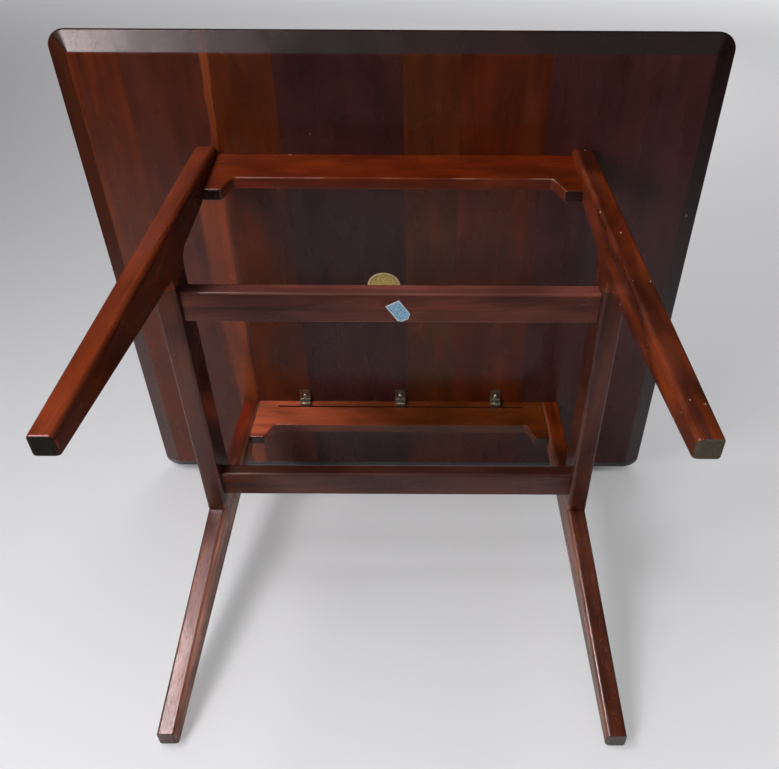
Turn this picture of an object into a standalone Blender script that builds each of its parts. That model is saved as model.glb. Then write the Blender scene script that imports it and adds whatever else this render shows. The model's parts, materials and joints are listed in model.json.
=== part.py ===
"""Square side table in dark rosewood, with a bevelled top on two splayed side frames.

Each side frame is a pair of legs and a rail. The legs are widest at the knee, where a short stub
of the rail is worked on the leg itself, and taper from there to the top and to the floor. Two flat
cross rails join the side frames, and two haunched aprons carry the top, which bent steel clips
hold down. All joints are blind mortises and tenons.

The origin is on the floor below the middle of the top. X runs left to right, the front is at -Y
and +Z is up. Lengths are in metres, and a depth is measured down from the underside of the top.
"""

import math

import bmesh
import bpy
from mathutils import Matrix, Vector

# Clearances, and how far a cut or a joined shape runs past the face it works on
FIT = 0.0003
OVERRUN = 0.004
WELD = 0.00001

# Tabletop: a square panel with a low upright rim over a flat under-bevel
TABLE_HEIGHT = 0.500
TOP_SIDE = 0.750
TOP_THICKNESS = 0.015
RIM_HEIGHT = 0.0045
BEVEL_REACH = 0.022
RIM_CORNER_RADIUS = 0.022
FIELD_CORNER_RADIUS = 0.003
RIM_EDGE_RADIUS = 0.0015
BEVEL_EDGE_RADIUS = 0.010

# Legs: how far the top overhangs the outer faces of their heads, how far the outer faces run out
# from there down to the floor, and the widths along Y from head to foot
OVERHANG_X = 0.1426
OVERHANG_Y = 0.1400
LEG_LEAN_X = 0.0474
LEG_SPLAY_Y = 0.0531
LEG_THICKNESS = 0.0241
LEG_HEAD_WIDTH = 0.0262
LEG_CROOK_WIDTH = 0.0465
LEG_KNEE_WIDTH = 0.0551
LEG_FOOT_WIDTH = 0.0256
CROOK_RADIUS = 0.013
LEG_FACE_ROUND = 0.006
LEG_OUTER_ROUND = 0.003
FOOT_ROUND = 0.001

# Side rails: their shoulders lie in from the outer faces of the heads, against the legs' stubs
RAIL_SETBACK = 0.0450
RAIL_TOP_DEPTH = 0.160
RAIL_HEIGHT = 0.0426
RAIL_INNER_ROUND = 0.004
RAIL_TENON_LENGTH = 0.018
RAIL_TENON_HEIGHT = 0.026
RAIL_TENON_THICKNESS = 0.008

# Cross rails: set in from the ends of the side rails and up from their bottom edge
CROSS_RAIL_WIDTH = 0.0430
CROSS_RAIL_HEIGHT = 0.0173
CROSS_RAIL_SETBACK = 0.0109
CROSS_RAIL_LIFT = 0.0086
CROSS_RAIL_ROUND = 0.0035
CROSS_TENON_LENGTH = 0.012
CROSS_TENON_WIDTH = 0.030
CROSS_TENON_THICKNESS = 0.008

# Aprons: full depth at the haunches beside the legs, cut away between them
APRON_THICKNESS = 0.016
APRON_HEIGHT = 0.047
HAUNCH_HEIGHT = 0.070
HAUNCH_LENGTH = 0.0130
HAUNCH_SLOPE_RUN = 0.0128
HAUNCH_ROUND = 0.004
APRON_EDGE_ROUND = 0.0018
APRON_TENON_LENGTH = 0.013
APRON_TENON_HEIGHT = 0.048
APRON_TENON_THICKNESS = 0.006
APRON_TENON_SET = 0.011

# Table clips: bent steel strip, its plate on the underside and its tongue in a saw kerf
CLIP_INSET = 0.0683
CLIP_WIDTH = 0.0145
CLIP_STRIP = 0.0016
CLIP_BEND_RADIUS = 0.002
CLIP_PLATE_SETBACK = 0.025
CLIP_STEP_SETBACK = 0.0061
CLIP_SCREW_SETBACK = 0.0141
KERF_SET = 0.0095
KERF_SLACK = 0.0014
KERF_DEPTH = 0.007
KERF_INSET = 0.0283
TONGUE_END_SLACK = 0.001

# Screws: a slotted round head under the clip, the shank up into the top
SCREW_SHANK_RADIUS = 0.0018
SCREW_GRIP = 0.009
SCREW_POINT = 0.003
SCREW_HEAD_RADIUS = 0.0040
SCREW_HEAD_HEIGHT = 0.0024
SLOT_WIDTH = 0.0010
SLOT_DEPTH = 0.0010

# Label disc and paper tag, both plain
DISC_X = -0.018
DISC_Y = -0.021
DISC_RADIUS = 0.0215
DISC_BORDER = 0.0030
DISC_THICKNESS = 0.0008
DISC_BORDER_THICKNESS = 0.0012
TAG_X = 0.0090
TAG_SHIFT = 0.0034
TAG_WIDTH = 0.0173
TAG_LENGTH = 0.0280
TAG_CORNER_WIDTH = 0.0050
TAG_CORNER_LENGTH = 0.0040
TAG_THICKNESS = 0.0004
TAG_TURN_DEGREES = -31

# Facets
CORNER_STEPS = 8
ARC_STEPS = 6
SOFT_EDGE_STEPS = 2
ROUND_SEGMENTS = 3
TURNED_STEPS = 32
SCREW_STEPS = 16
FILLET_RUN_SHARE = 0.9

# Worked out from the sizes above
UNDERSIDE = TABLE_HEIGHT - TOP_THICKNESS
LEG_HEIGHT = UNDERSIDE
LEG_HEAD_X = TOP_SIDE / 2 - OVERHANG_X
LEG_HEAD_Y = TOP_SIDE / 2 - OVERHANG_Y
LEG_FOOT_Y = LEG_HEAD_Y + LEG_SPLAY_Y
LEG_INNER_X = LEG_HEAD_X - LEG_THICKNESS
RAIL_BOTTOM_DEPTH = RAIL_TOP_DEPTH + RAIL_HEIGHT
RAIL_MIDDLE_DEPTH = RAIL_TOP_DEPTH + RAIL_HEIGHT / 2
RAIL_END_Y = LEG_HEAD_Y - RAIL_SETBACK
CROSS_RAIL_Y = RAIL_END_Y - CROSS_RAIL_SETBACK - CROSS_RAIL_WIDTH / 2
CROSS_RAIL_BOTTOM_DEPTH = RAIL_BOTTOM_DEPTH - CROSS_RAIL_LIFT
CROSS_RAIL_DEPTH = CROSS_RAIL_BOTTOM_DEPTH - CROSS_RAIL_HEIGHT / 2
APRON_INNER_Y = LEG_HEAD_Y - LEG_HEAD_WIDTH
APRON_Y = APRON_INNER_Y + APRON_THICKNESS / 2
HAUNCH_HALF_SPAN = LEG_INNER_X - HAUNCH_LENGTH
KERF_HEIGHT = CLIP_STRIP + KERF_SLACK
KERF_HALF_LENGTH = LEG_INNER_X - KERF_INSET
CLIP_SPACING = LEG_INNER_X - CLIP_INSET
CLIP_SCREW_Y = APRON_INNER_Y - CLIP_SCREW_SETBACK
PILOT_RADIUS = SCREW_SHANK_RADIUS + FIT

# How an outline's two axes and its thickness lie in the table
SIDE_PLANE = Matrix(((0, 0, 1), (1, 0, 0), (0, 1, 0)))
FRONT_PLANE = Matrix(((1, 0, 0), (0, 0, -1), (0, 1, 0)))
FLOOR_PLANE = Matrix.Identity(3)

SIDES = {"left": -1, "right": 1}
ENDS = {"front": -1, "back": 1}
CLIP_PLACES = {"left": -CLIP_SPACING, "middle": 0, "right": CLIP_SPACING}


def clear_scene():
    """Take away whatever the file held before."""
    for item in list(bpy.data.objects):
        bpy.data.objects.remove(item)


def collection(name):
    """A new collection, linked to the scene."""
    made = bpy.data.collections.new(name)
    bpy.context.scene.collection.children.link(made)
    return made


clear_scene()
PARTS = collection("square_table")
CUTTERS = collection("cutters")


def material(name, colour, roughness, metallic=0):
    """A plain finish on a Principled shader."""
    made = bpy.data.materials.new(name)
    made.use_nodes = True
    shader = made.node_tree.nodes["Principled BSDF"]
    shader.inputs["Base Color"].default_value = (*colour, 1)
    shader.inputs["Roughness"].default_value = roughness
    shader.inputs["Metallic"].default_value = metallic
    made.diffuse_color = (*colour, 1)
    return made


TOP_WOOD = material("top_rosewood", (0.075, 0.026, 0.016), 0.38)
LEG_WOOD = material("leg_rosewood", (0.130, 0.034, 0.014), 0.36)
RAIL_WOOD = material("rail_rosewood", (0.070, 0.022, 0.014), 0.38)
APRON_WOOD = material("apron_rosewood", (0.115, 0.030, 0.015), 0.38)
CLIP_STEEL = material("clip_steel", (0.42, 0.36, 0.29), 0.42, 1)
SCREW_STEEL = material("screw_steel", (0.50, 0.47, 0.42), 0.35, 1)
DISC_GILT = material("disc_gilt", (0.55, 0.46, 0.24), 0.45, 1)
TAG_PAPER = material("tag_paper", (0.36, 0.58, 0.68), 0.80)


def level(depth):
    """Height above the floor of a depth below the underside."""
    return UNDERSIDE - depth


def lean(depth):
    """How far outward along X the side frames have leaned at a depth."""
    return LEG_LEAN_X * depth / LEG_HEIGHT


def leg_face_y(depth):
    """Outer face of a leg along Y at a depth."""
    return LEG_HEAD_Y + LEG_SPLAY_Y * depth / LEG_HEIGHT


def rounded_corner(before, corner, after, radius, steps):
    """Points of an arc that rounds the corner between two straight runs, no longer than they allow."""
    corner = Vector(corner)
    back = Vector(before) - corner
    ahead = Vector(after) - corner
    half_angle = back.angle(ahead) / 2
    longest = min(back.length, ahead.length) * FILLET_RUN_SHARE
    tangent = min(radius / math.tan(half_angle), longest)
    radius = tangent * math.tan(half_angle)
    back.normalize()
    ahead.normalize()
    centre = corner + (back + ahead).normalized() * radius / math.sin(half_angle)
    start = corner + back * tangent - centre
    turn = math.pi - 2 * half_angle
    if back.x * ahead.y - back.y * ahead.x > 0:
        turn = -turn
    return [centre + Matrix.Rotation(turn * step / steps, 2) @ start for step in range(steps + 1)]


def keep(piece, finish, origin):
    """Put a piece in the table's collection with its finish, under the table's origin."""
    PARTS.objects.link(piece)
    piece.data.materials.append(finish)
    piece.parent = origin
    return piece


def as_tool(piece):
    """Put a shape among the cutters, shown as wire and left out of the model."""
    CUTTERS.objects.link(piece)
    piece.hide_render = True
    piece.display_type = "WIRE"
    return piece


def mesh_object(name, bm, place):
    """An object from a bmesh, with its faces turned outward."""
    bmesh.ops.recalc_face_normals(bm, faces=bm.faces)
    mesh = bpy.data.meshes.new(name)
    bm.to_mesh(mesh)
    bm.free()
    piece = bpy.data.objects.new(name, mesh)
    piece.location = place
    return piece


def block(name, low, high):
    """A box between two corners, with its origin in its middle."""
    low = Vector(low)
    high = Vector(high)
    bm = bmesh.new()
    bmesh.ops.create_cube(bm, size=1)
    bmesh.ops.scale(bm, vec=high - low, verts=bm.verts)
    return mesh_object(name, bm, (low + high) / 2)


def extrusion(name, outline, thickness, plane, place, closed=True):
    """A flat outline drawn as a 2D curve and extruded, or an open path drawn out to a ribbon."""
    curve = bpy.data.curves.new(name, "CURVE")
    curve.dimensions = "2D"
    curve.fill_mode = "BOTH"
    curve.extrude = thickness / 2
    spline = curve.splines.new("POLY")
    spline.points.add(len(outline) - 1)
    for point, (across, up) in zip(spline.points, outline):
        point.co = (across, up, 0, 1)
    spline.use_cyclic_u = closed
    drawn = bpy.data.objects.new(name, curve)
    CUTTERS.objects.link(drawn)
    graph = bpy.context.evaluated_depsgraph_get()
    mesh = bpy.data.meshes.new_from_object(drawn.evaluated_get(graph))
    mesh.transform(drawn.matrix_world)
    bpy.data.objects.remove(drawn)
    bpy.data.curves.remove(curve)
    bm = bmesh.new()
    bm.from_mesh(mesh)
    bmesh.ops.remove_doubles(bm, verts=bm.verts, dist=WELD)
    if closed:
        flat = math.radians(0.1)
        bmesh.ops.dissolve_limit(bm, angle_limit=flat, verts=bm.verts, edges=bm.edges)
    bmesh.ops.transform(bm, matrix=plane.to_4x4(), verts=bm.verts)
    return mesh_object(name, bm, place)


def turned(name, profile, steps, place):
    """A turned shape: a profile of radius and height from its top to its bottom, swept round Z."""
    mesh = bpy.data.meshes.new(name)
    points = [(radius, 0, height) for radius, height in profile]
    edges = [(index, index + 1) for index in range(len(points) - 1)]
    mesh.from_pydata(points, edges, [])
    piece = bpy.data.objects.new(name, mesh)
    piece.location = place
    sweep = piece.modifiers.new("turn", "SCREW")
    sweep.steps = steps
    sweep.render_steps = steps
    sweep.use_merge_vertices = True
    sweep.merge_threshold = WELD
    return piece


def lean_out(piece, beyond=0):
    """Lean a piece's points outward with the side frames, those beyond a distance from the middle."""
    for vertex in piece.data.vertices:
        place = piece.location + vertex.co
        if abs(place.x) > beyond:
            vertex.co.x += math.copysign(lean(UNDERSIDE - place.z), place.x)
    return piece


def round_edges(piece, radius_of):
    """Bevel a piece's edges, each by the radius that a rule gives for its two ends."""
    vertices = piece.data.vertices
    radii = []
    for edge in piece.data.edges:
        ends = [vertices[index].co + piece.location for index in edge.vertices]
        radii.append(radius_of(*ends))
    widest = max(radii)
    weights = piece.data.attributes.new("bevel_weight_edge", "FLOAT", "EDGE")
    weights.data.foreach_set("value", [radius / widest for radius in radii])
    bevel = piece.modifiers.new("round", "BEVEL")
    bevel.limit_method = "WEIGHT"
    bevel.width = widest
    bevel.segments = ROUND_SEGMENTS


def combine(piece, tool, operation):
    """Join a tool to a piece, or cut it out of the piece."""
    step = piece.modifiers.new(tool.name, "BOOLEAN")
    step.operation = operation
    step.solver = "EXACT"
    step.object = tool


def join(piece, tool):
    """Make a tool's shape part of a piece."""
    combine(piece, as_tool(tool), "UNION")


def cut(piece, tool):
    """Cut a tool's shape out of a piece."""
    combine(piece, as_tool(tool), "DIFFERENCE")


def spans(*ranges):
    """Low and high corner of a box from its pairs of bounds, whichever way round each is given."""
    return [min(pair) for pair in ranges], [max(pair) for pair in ranges]


def mortise(name, low, high):
    """The cutter for a tenon's hole: the tenon's own box with a clearance all round."""
    margin = Vector((FIT, FIT, FIT))
    return block(name, Vector(low) - margin, Vector(high) + margin)


def rail_tenon(side, end):
    """Box of a side rail's tenon, before the lean, from its root inside the rail to its end."""
    middle = side * (LEG_HEAD_X - LEG_THICKNESS / 2)
    return spans(
        (middle - RAIL_TENON_THICKNESS / 2, middle + RAIL_TENON_THICKNESS / 2),
        (end * (RAIL_END_Y - OVERRUN), end * (RAIL_END_Y + RAIL_TENON_LENGTH)),
        (
            level(RAIL_MIDDLE_DEPTH + RAIL_TENON_HEIGHT / 2),
            level(RAIL_MIDDLE_DEPTH - RAIL_TENON_HEIGHT / 2),
        ),
    )


def cross_tenon(side, end):
    """Box of a cross rail's tenon, before the lean, from its root inside the rail to its end."""
    middle = end * CROSS_RAIL_Y
    return spans(
        (side * (LEG_INNER_X - OVERRUN), side * (LEG_INNER_X + CROSS_TENON_LENGTH)),
        (middle - CROSS_TENON_WIDTH / 2, middle + CROSS_TENON_WIDTH / 2),
        (
            level(CROSS_RAIL_DEPTH + CROSS_TENON_THICKNESS / 2),
            level(CROSS_RAIL_DEPTH - CROSS_TENON_THICKNESS / 2),
        ),
    )


def apron_tenon(side, end):
    """Box of an apron's tenon, before the lean, from its root inside the apron to its end."""
    middle = end * APRON_Y
    return spans(
        (side * (LEG_INNER_X - OVERRUN), side * (LEG_INNER_X + APRON_TENON_LENGTH)),
        (middle - APRON_TENON_THICKNESS / 2, middle + APRON_TENON_THICKNESS / 2),
        (level(APRON_TENON_SET + APRON_TENON_HEIGHT), level(APRON_TENON_SET)),
    )


def square_ring(half_side, radius, height):
    """Points round a square with rounded corners, anticlockwise from above."""
    reach = half_side - radius
    points = []
    for quarter in range(4):
        middle = Matrix.Rotation(math.radians(90) * quarter, 2) @ Vector((reach, reach))
        for step in range(CORNER_STEPS + 1):
            angle = math.radians(90) * (quarter + step / CORNER_STEPS)
            around = Vector((math.cos(angle), math.sin(angle))) * radius
            points.append((*(middle + around), height))
    return points


def rim_profile():
    """Inset from the rim and height above the underside, from the flat field round to the top."""
    field = (BEVEL_REACH, 0)
    lower = (0, TOP_THICKNESS - RIM_HEIGHT)
    upper = (0, TOP_THICKNESS)
    middle = (TOP_SIDE / 2, 0)
    crown = (TOP_SIDE / 2, TOP_THICKNESS)
    profile = rounded_corner(middle, field, lower, BEVEL_EDGE_RADIUS, SOFT_EDGE_STEPS)
    profile += rounded_corner(field, lower, upper, RIM_EDGE_RADIUS, ROUND_SEGMENTS)
    profile += rounded_corner(lower, upper, crown, RIM_EDGE_RADIUS, ROUND_SEGMENTS)
    return profile


def add_top(origin):
    """The panel, a loft from the square field on its underside to its rounded rim."""
    rings = []
    for inset, height in rim_profile():
        share = min(inset / BEVEL_REACH, 1)
        radius = RIM_CORNER_RADIUS + (FIELD_CORNER_RADIUS - RIM_CORNER_RADIUS) * share
        rings.append(square_ring(TOP_SIDE / 2 - inset, radius, height))
    bm = bmesh.new()
    loops = [[bm.verts.new(point) for point in ring] for ring in rings]
    for lower, upper in zip(loops, loops[1:]):
        for index in range(len(lower)):
            ahead = (index + 1) % len(lower)
            bm.faces.new((lower[index], lower[ahead], upper[ahead], upper[index]))
    bm.faces.new(reversed(loops[0]))
    bm.faces.new(loops[-1])
    top = keep(mesh_object("tabletop", bm, (0, 0, UNDERSIDE)), TOP_WOOD, origin)
    for end_name, end in ENDS.items():
        for place_name, across in CLIP_PLACES.items():
            cut(top, pilot(f"pilot_{end_name}_{place_name}", across, end, SCREW_GRIP))


def pilot(name, across, end, height):
    """A cylinder round a clip's screw, from below its head to a height above the underside."""
    bottom = -CLIP_STRIP - OVERRUN
    bm = bmesh.new()
    bmesh.ops.create_cone(
        bm,
        cap_ends=True,
        segments=SCREW_STEPS,
        radius1=PILOT_RADIUS,
        radius2=PILOT_RADIUS,
        depth=height + FIT - bottom,
    )
    middle = UNDERSIDE + (height + FIT + bottom) / 2
    return mesh_object(name, bm, (across, end * CLIP_SCREW_Y, middle))


def leg_outline(end):
    """A leg seen from the side: across along Y from the outer head, up from the underside."""
    crook_y = leg_face_y(RAIL_TOP_DEPTH) - LEG_CROOK_WIDTH
    knee_y = leg_face_y(RAIL_BOTTOM_DEPTH) - LEG_KNEE_WIDTH
    inner_head = (LEG_HEAD_Y - LEG_HEAD_WIDTH, -FIT)
    crook = (crook_y, -RAIL_TOP_DEPTH)
    stub_top = (RAIL_END_Y, -RAIL_TOP_DEPTH)
    outline = [
        (LEG_HEAD_Y, -FIT),
        (LEG_FOOT_Y, -LEG_HEIGHT),
        (LEG_FOOT_Y - LEG_FOOT_WIDTH, -LEG_HEIGHT),
        (knee_y, -RAIL_BOTTOM_DEPTH),
        (RAIL_END_Y, -RAIL_BOTTOM_DEPTH),
        stub_top,
    ]
    outline += rounded_corner(stub_top, crook, inner_head, CROOK_RADIUS, ARC_STEPS)
    outline.append(inner_head)
    return [(end * (across - LEG_HEAD_Y), up) for across, up in outline]


def leg_radius(start, end):
    """Edge radius on a leg: large to the inside of its face, small outside, least at the foot."""
    foot = max(start.z, end.z) < WELD
    head = min(start.z, end.z) > UNDERSIDE - FIT - WELD
    butt = max(abs(start.y), abs(end.y)) < RAIL_END_Y + WELD
    across = abs(start.x - end.x) > WELD
    if foot:
        return FOOT_ROUND
    if head or butt or across:
        return 0
    if abs(start.x) > LEG_INNER_X + LEG_THICKNESS / 2:
        return LEG_OUTER_ROUND
    middle = (start + end) / 2
    on_face = abs(middle.y) > leg_face_y(UNDERSIDE - middle.z) - WELD
    return LEG_FACE_ROUND if on_face else RAIL_INNER_ROUND


def add_leg(side_name, end_name, origin):
    """A leg with its stub of rail, leaned outward, and the two mortises that are cut in it."""
    side = SIDES[side_name]
    end = ENDS[end_name]
    name = f"leg_{end_name}_{side_name}"
    place = (side * (LEG_HEAD_X - LEG_THICKNESS / 2), end * LEG_HEAD_Y, UNDERSIDE)
    leg = extrusion(name, leg_outline(end), LEG_THICKNESS, SIDE_PLANE, place)
    round_edges(leg, leg_radius)
    keep(lean_out(leg), LEG_WOOD, origin)
    cut(leg, lean_out(mortise(f"{name}_rail_mortise", *rail_tenon(side, end))))
    cut(leg, lean_out(mortise(f"{name}_apron_mortise", *apron_tenon(side, end))))


def rail_radius(start, end):
    """Edge radius on a side rail's long edges: larger on the inside of the frame."""
    if abs(start.y - end.y) < WELD:
        return 0
    inside = abs(start.x) < LEG_INNER_X + LEG_THICKNESS / 2
    return RAIL_INNER_ROUND if inside else LEG_OUTER_ROUND


def add_side_rail(side_name, origin):
    """A rail between the stubs of two legs, with a tenon at each end and the cross rails' mortises."""
    side = SIDES[side_name]
    name = f"side_rail_{side_name}"
    shoulder = RAIL_END_Y - FIT
    bounds = spans(
        (side * LEG_INNER_X, side * LEG_HEAD_X),
        (-shoulder, shoulder),
        (level(RAIL_BOTTOM_DEPTH), level(RAIL_TOP_DEPTH)),
    )
    rail = block(name, *bounds)
    round_edges(rail, rail_radius)
    keep(lean_out(rail), RAIL_WOOD, origin)
    for end_name, end in ENDS.items():
        join(rail, lean_out(block(f"{name}_{end_name}_tenon", *rail_tenon(side, end))))
        cut(rail, lean_out(mortise(f"{name}_{end_name}_mortise", *cross_tenon(side, end))))


def cross_radius(start, end):
    """Edge radius on a cross rail's long edges."""
    return CROSS_RAIL_ROUND if abs(start.x - end.x) > LEG_INNER_X else 0


def add_cross_rail(end_name, origin):
    """A flat rail between the side rails, its shoulders leaning with them, with two tenons."""
    end = ENDS[end_name]
    name = f"cross_rail_{end_name}"
    shoulder = LEG_INNER_X - FIT
    bounds = spans(
        (-shoulder, shoulder),
        (end * CROSS_RAIL_Y - CROSS_RAIL_WIDTH / 2, end * CROSS_RAIL_Y + CROSS_RAIL_WIDTH / 2),
        (level(CROSS_RAIL_BOTTOM_DEPTH), level(CROSS_RAIL_BOTTOM_DEPTH - CROSS_RAIL_HEIGHT)),
    )
    rail = block(name, *bounds)
    round_edges(rail, cross_radius)
    keep(lean_out(rail), RAIL_WOOD, origin)
    for side_name, side in SIDES.items():
        join(rail, lean_out(block(f"{name}_{side_name}_tenon", *cross_tenon(side, end))))


def apron_outline():
    """An apron seen from the front, before its ends lean: across along X, up from the underside."""
    shoulder = LEG_INNER_X - FIT
    slope_end = HAUNCH_HALF_SPAN - HAUNCH_SLOPE_RUN
    haunch_end = (shoulder, -HAUNCH_HEIGHT)
    haunch = (HAUNCH_HALF_SPAN, -HAUNCH_HEIGHT)
    rise = (slope_end, -APRON_HEIGHT)
    middle = (0, -APRON_HEIGHT)
    right = [(shoulder, -FIT), haunch_end]
    right += rounded_corner(haunch_end, haunch, rise, HAUNCH_ROUND, SOFT_EDGE_STEPS)
    right += rounded_corner(haunch, rise, middle, HAUNCH_ROUND, SOFT_EDGE_STEPS)
    return [(x, y) for x, y in right] + [(-x, y) for x, y in reversed(right)]


def apron_radius(start, end):
    """Edge radius on an apron: all but its top edge and its shoulders."""
    top = min(start.z, end.z) > UNDERSIDE - FIT - WELD
    shoulder = min(abs(start.x), abs(end.x)) > LEG_INNER_X - FIT - WELD
    across = abs(start.y - end.y) > WELD
    return 0 if top or shoulder or across else APRON_EDGE_ROUND


def add_apron(end_name, origin):
    """A haunched apron between two legs, with two tenons and the saw kerf for the clips."""
    end = ENDS[end_name]
    name = f"apron_{end_name}"
    place = (0, end * APRON_Y, UNDERSIDE)
    apron = extrusion(name, apron_outline(), APRON_THICKNESS, FRONT_PLANE, place)
    round_edges(apron, apron_radius)
    keep(lean_out(apron, (HAUNCH_HALF_SPAN + LEG_INNER_X) / 2), APRON_WOOD, origin)
    for side_name, side in SIDES.items():
        join(apron, lean_out(block(f"{name}_{side_name}_tenon", *apron_tenon(side, end))))
    kerf = spans(
        (-KERF_HALF_LENGTH, KERF_HALF_LENGTH),
        (end * (APRON_INNER_Y - OVERRUN), end * (APRON_INNER_Y + KERF_DEPTH)),
        (level(KERF_SET + KERF_HEIGHT), level(KERF_SET)),
    )
    cut(apron, block(f"{name}_kerf", *kerf))


def clip_path(end):
    """Middle line of a clip's strip: plate, step down and tongue, from the apron's inner face."""
    plate_up = -FIT - CLIP_STRIP / 2
    tongue_up = -KERF_SET - FIT - CLIP_STRIP / 2
    plate_end = (-CLIP_PLATE_SETBACK, plate_up)
    top_bend = (-CLIP_STEP_SETBACK, plate_up)
    bottom_bend = (-CLIP_STEP_SETBACK, tongue_up)
    tongue_end = (KERF_DEPTH - TONGUE_END_SLACK, tongue_up)
    path = [plate_end]
    path += rounded_corner(plate_end, top_bend, bottom_bend, CLIP_BEND_RADIUS, ROUND_SEGMENTS)
    path += rounded_corner(top_bend, bottom_bend, tongue_end, CLIP_BEND_RADIUS, ROUND_SEGMENTS)
    path.append(tongue_end)
    return [(end * across, up) for across, up in path]


def add_clip(end_name, place_name, origin):
    """A clip bent from steel strip, drilled for its screw."""
    end = ENDS[end_name]
    across = CLIP_PLACES[place_name]
    name = f"clip_{end_name}_{place_name}"
    place = (across, end * APRON_INNER_Y, UNDERSIDE)
    clip = extrusion(name, clip_path(end), CLIP_WIDTH, SIDE_PLANE, place, closed=False)
    keep(clip, CLIP_STEEL, origin)
    strip = clip.modifiers.new("strip", "SOLIDIFY")
    strip.thickness = CLIP_STRIP
    strip.offset = 0
    strip.use_even_offset = True
    cut(clip, pilot(f"{name}_hole", across, end, 0))


def add_screw(end_name, place_name, origin):
    """A wood screw, its point up in the top and its slotted round head below the clip."""
    name = f"screw_{end_name}_{place_name}"
    seat = -FIT - CLIP_STRIP - FIT
    profile = [(0, SCREW_GRIP), (SCREW_SHANK_RADIUS, SCREW_GRIP - SCREW_POINT), (SCREW_SHANK_RADIUS, seat)]
    for step in range(ARC_STEPS + 1):
        angle = math.radians(90) * step / ARC_STEPS
        radius = SCREW_HEAD_RADIUS * math.cos(angle)
        profile.append((radius, seat - SCREW_HEAD_HEIGHT * math.sin(angle)))
    profile[-1] = (0, seat - SCREW_HEAD_HEIGHT)
    place = (CLIP_PLACES[place_name], ENDS[end_name] * CLIP_SCREW_Y, UNDERSIDE)
    screw = keep(turned(name, profile, SCREW_STEPS, place), SCREW_STEEL, origin)
    slot = block(
        f"{name}_slot",
        (-SCREW_HEAD_RADIUS - OVERRUN, -SLOT_WIDTH / 2, seat - SCREW_HEAD_HEIGHT - OVERRUN),
        (SCREW_HEAD_RADIUS + OVERRUN, SLOT_WIDTH / 2, seat - SCREW_HEAD_HEIGHT + SLOT_DEPTH),
    )
    slot.location += Vector(place)
    cut(screw, slot)


def add_disc(origin):
    """A plain round label disc with a raised border, flat on the underside."""
    inner = DISC_RADIUS - DISC_BORDER
    profile = [
        (0, -FIT),
        (DISC_RADIUS, -FIT),
        (DISC_RADIUS, -FIT - DISC_BORDER_THICKNESS),
        (inner, -FIT - DISC_BORDER_THICKNESS),
        (inner, -FIT - DISC_THICKNESS),
        (0, -FIT - DISC_THICKNESS),
    ]
    disc = turned("label_disc", profile, TURNED_STEPS, (DISC_X, DISC_Y, UNDERSIDE))
    keep(disc, DISC_GILT, origin)


def add_tag(origin):
    """A blank paper tag with two clipped corners, flat under the front cross rail."""
    half_width = TAG_WIDTH / 2
    half_length = TAG_LENGTH / 2
    outline = [
        (-half_width, -half_length),
        (half_width, -half_length),
        (half_width, half_length - TAG_CORNER_LENGTH),
        (half_width - TAG_CORNER_WIDTH, half_length),
        (TAG_CORNER_WIDTH - half_width, half_length),
        (-half_width, half_length - TAG_CORNER_LENGTH),
    ]
    height = level(CROSS_RAIL_BOTTOM_DEPTH) - FIT - TAG_THICKNESS / 2
    place = (TAG_X, TAG_SHIFT - CROSS_RAIL_Y, height)
    tag = extrusion("paper_tag", outline, TAG_THICKNESS, FLOOR_PLANE, place)
    tag.rotation_euler.z = math.radians(TAG_TURN_DEGREES)
    keep(tag, TAG_PAPER, origin)


def smooth_rounds():
    """Shade the rounded stretches smooth and keep the true corners sharp."""
    for piece in PARTS.objects:
        if piece.type == "MESH":
            piece.data.shade_smooth()
            piece.data.set_sharp_from_angle(angle=math.radians(40))


def main():
    """Build the table under an empty that marks its origin."""
    origin = bpy.data.objects.new("table_origin", None)
    PARTS.objects.link(origin)
    add_top(origin)
    for end_name in ENDS:
        for side_name in SIDES:
            add_leg(side_name, end_name, origin)
        add_cross_rail(end_name, origin)
        add_apron(end_name, origin)
        for place_name in CLIP_PLACES:
            add_clip(end_name, place_name, origin)
            add_screw(end_name, place_name, origin)
    for side_name in SIDES:
        add_side_rail(side_name, origin)
    add_disc(origin)
    add_tag(origin)
    smooth_rounds()


main()
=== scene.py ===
# %% [markdown]
# # A square rosewood side table, seen from below
#
# The table is a bevelled square top on two splayed side frames. Each side frame is two legs with a
# rail between them, flat cross rails tie the frames together, and two haunched aprons carry the
# top, which small steel clips hold down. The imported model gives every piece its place. These cells
# give each piece a finer surface and its finish: oiled rosewood, tarnished steel, gilt and paper.

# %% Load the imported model
import json
import math

import bmesh
import bpy
import numpy as np
from mathutils import Matrix, Vector

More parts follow.
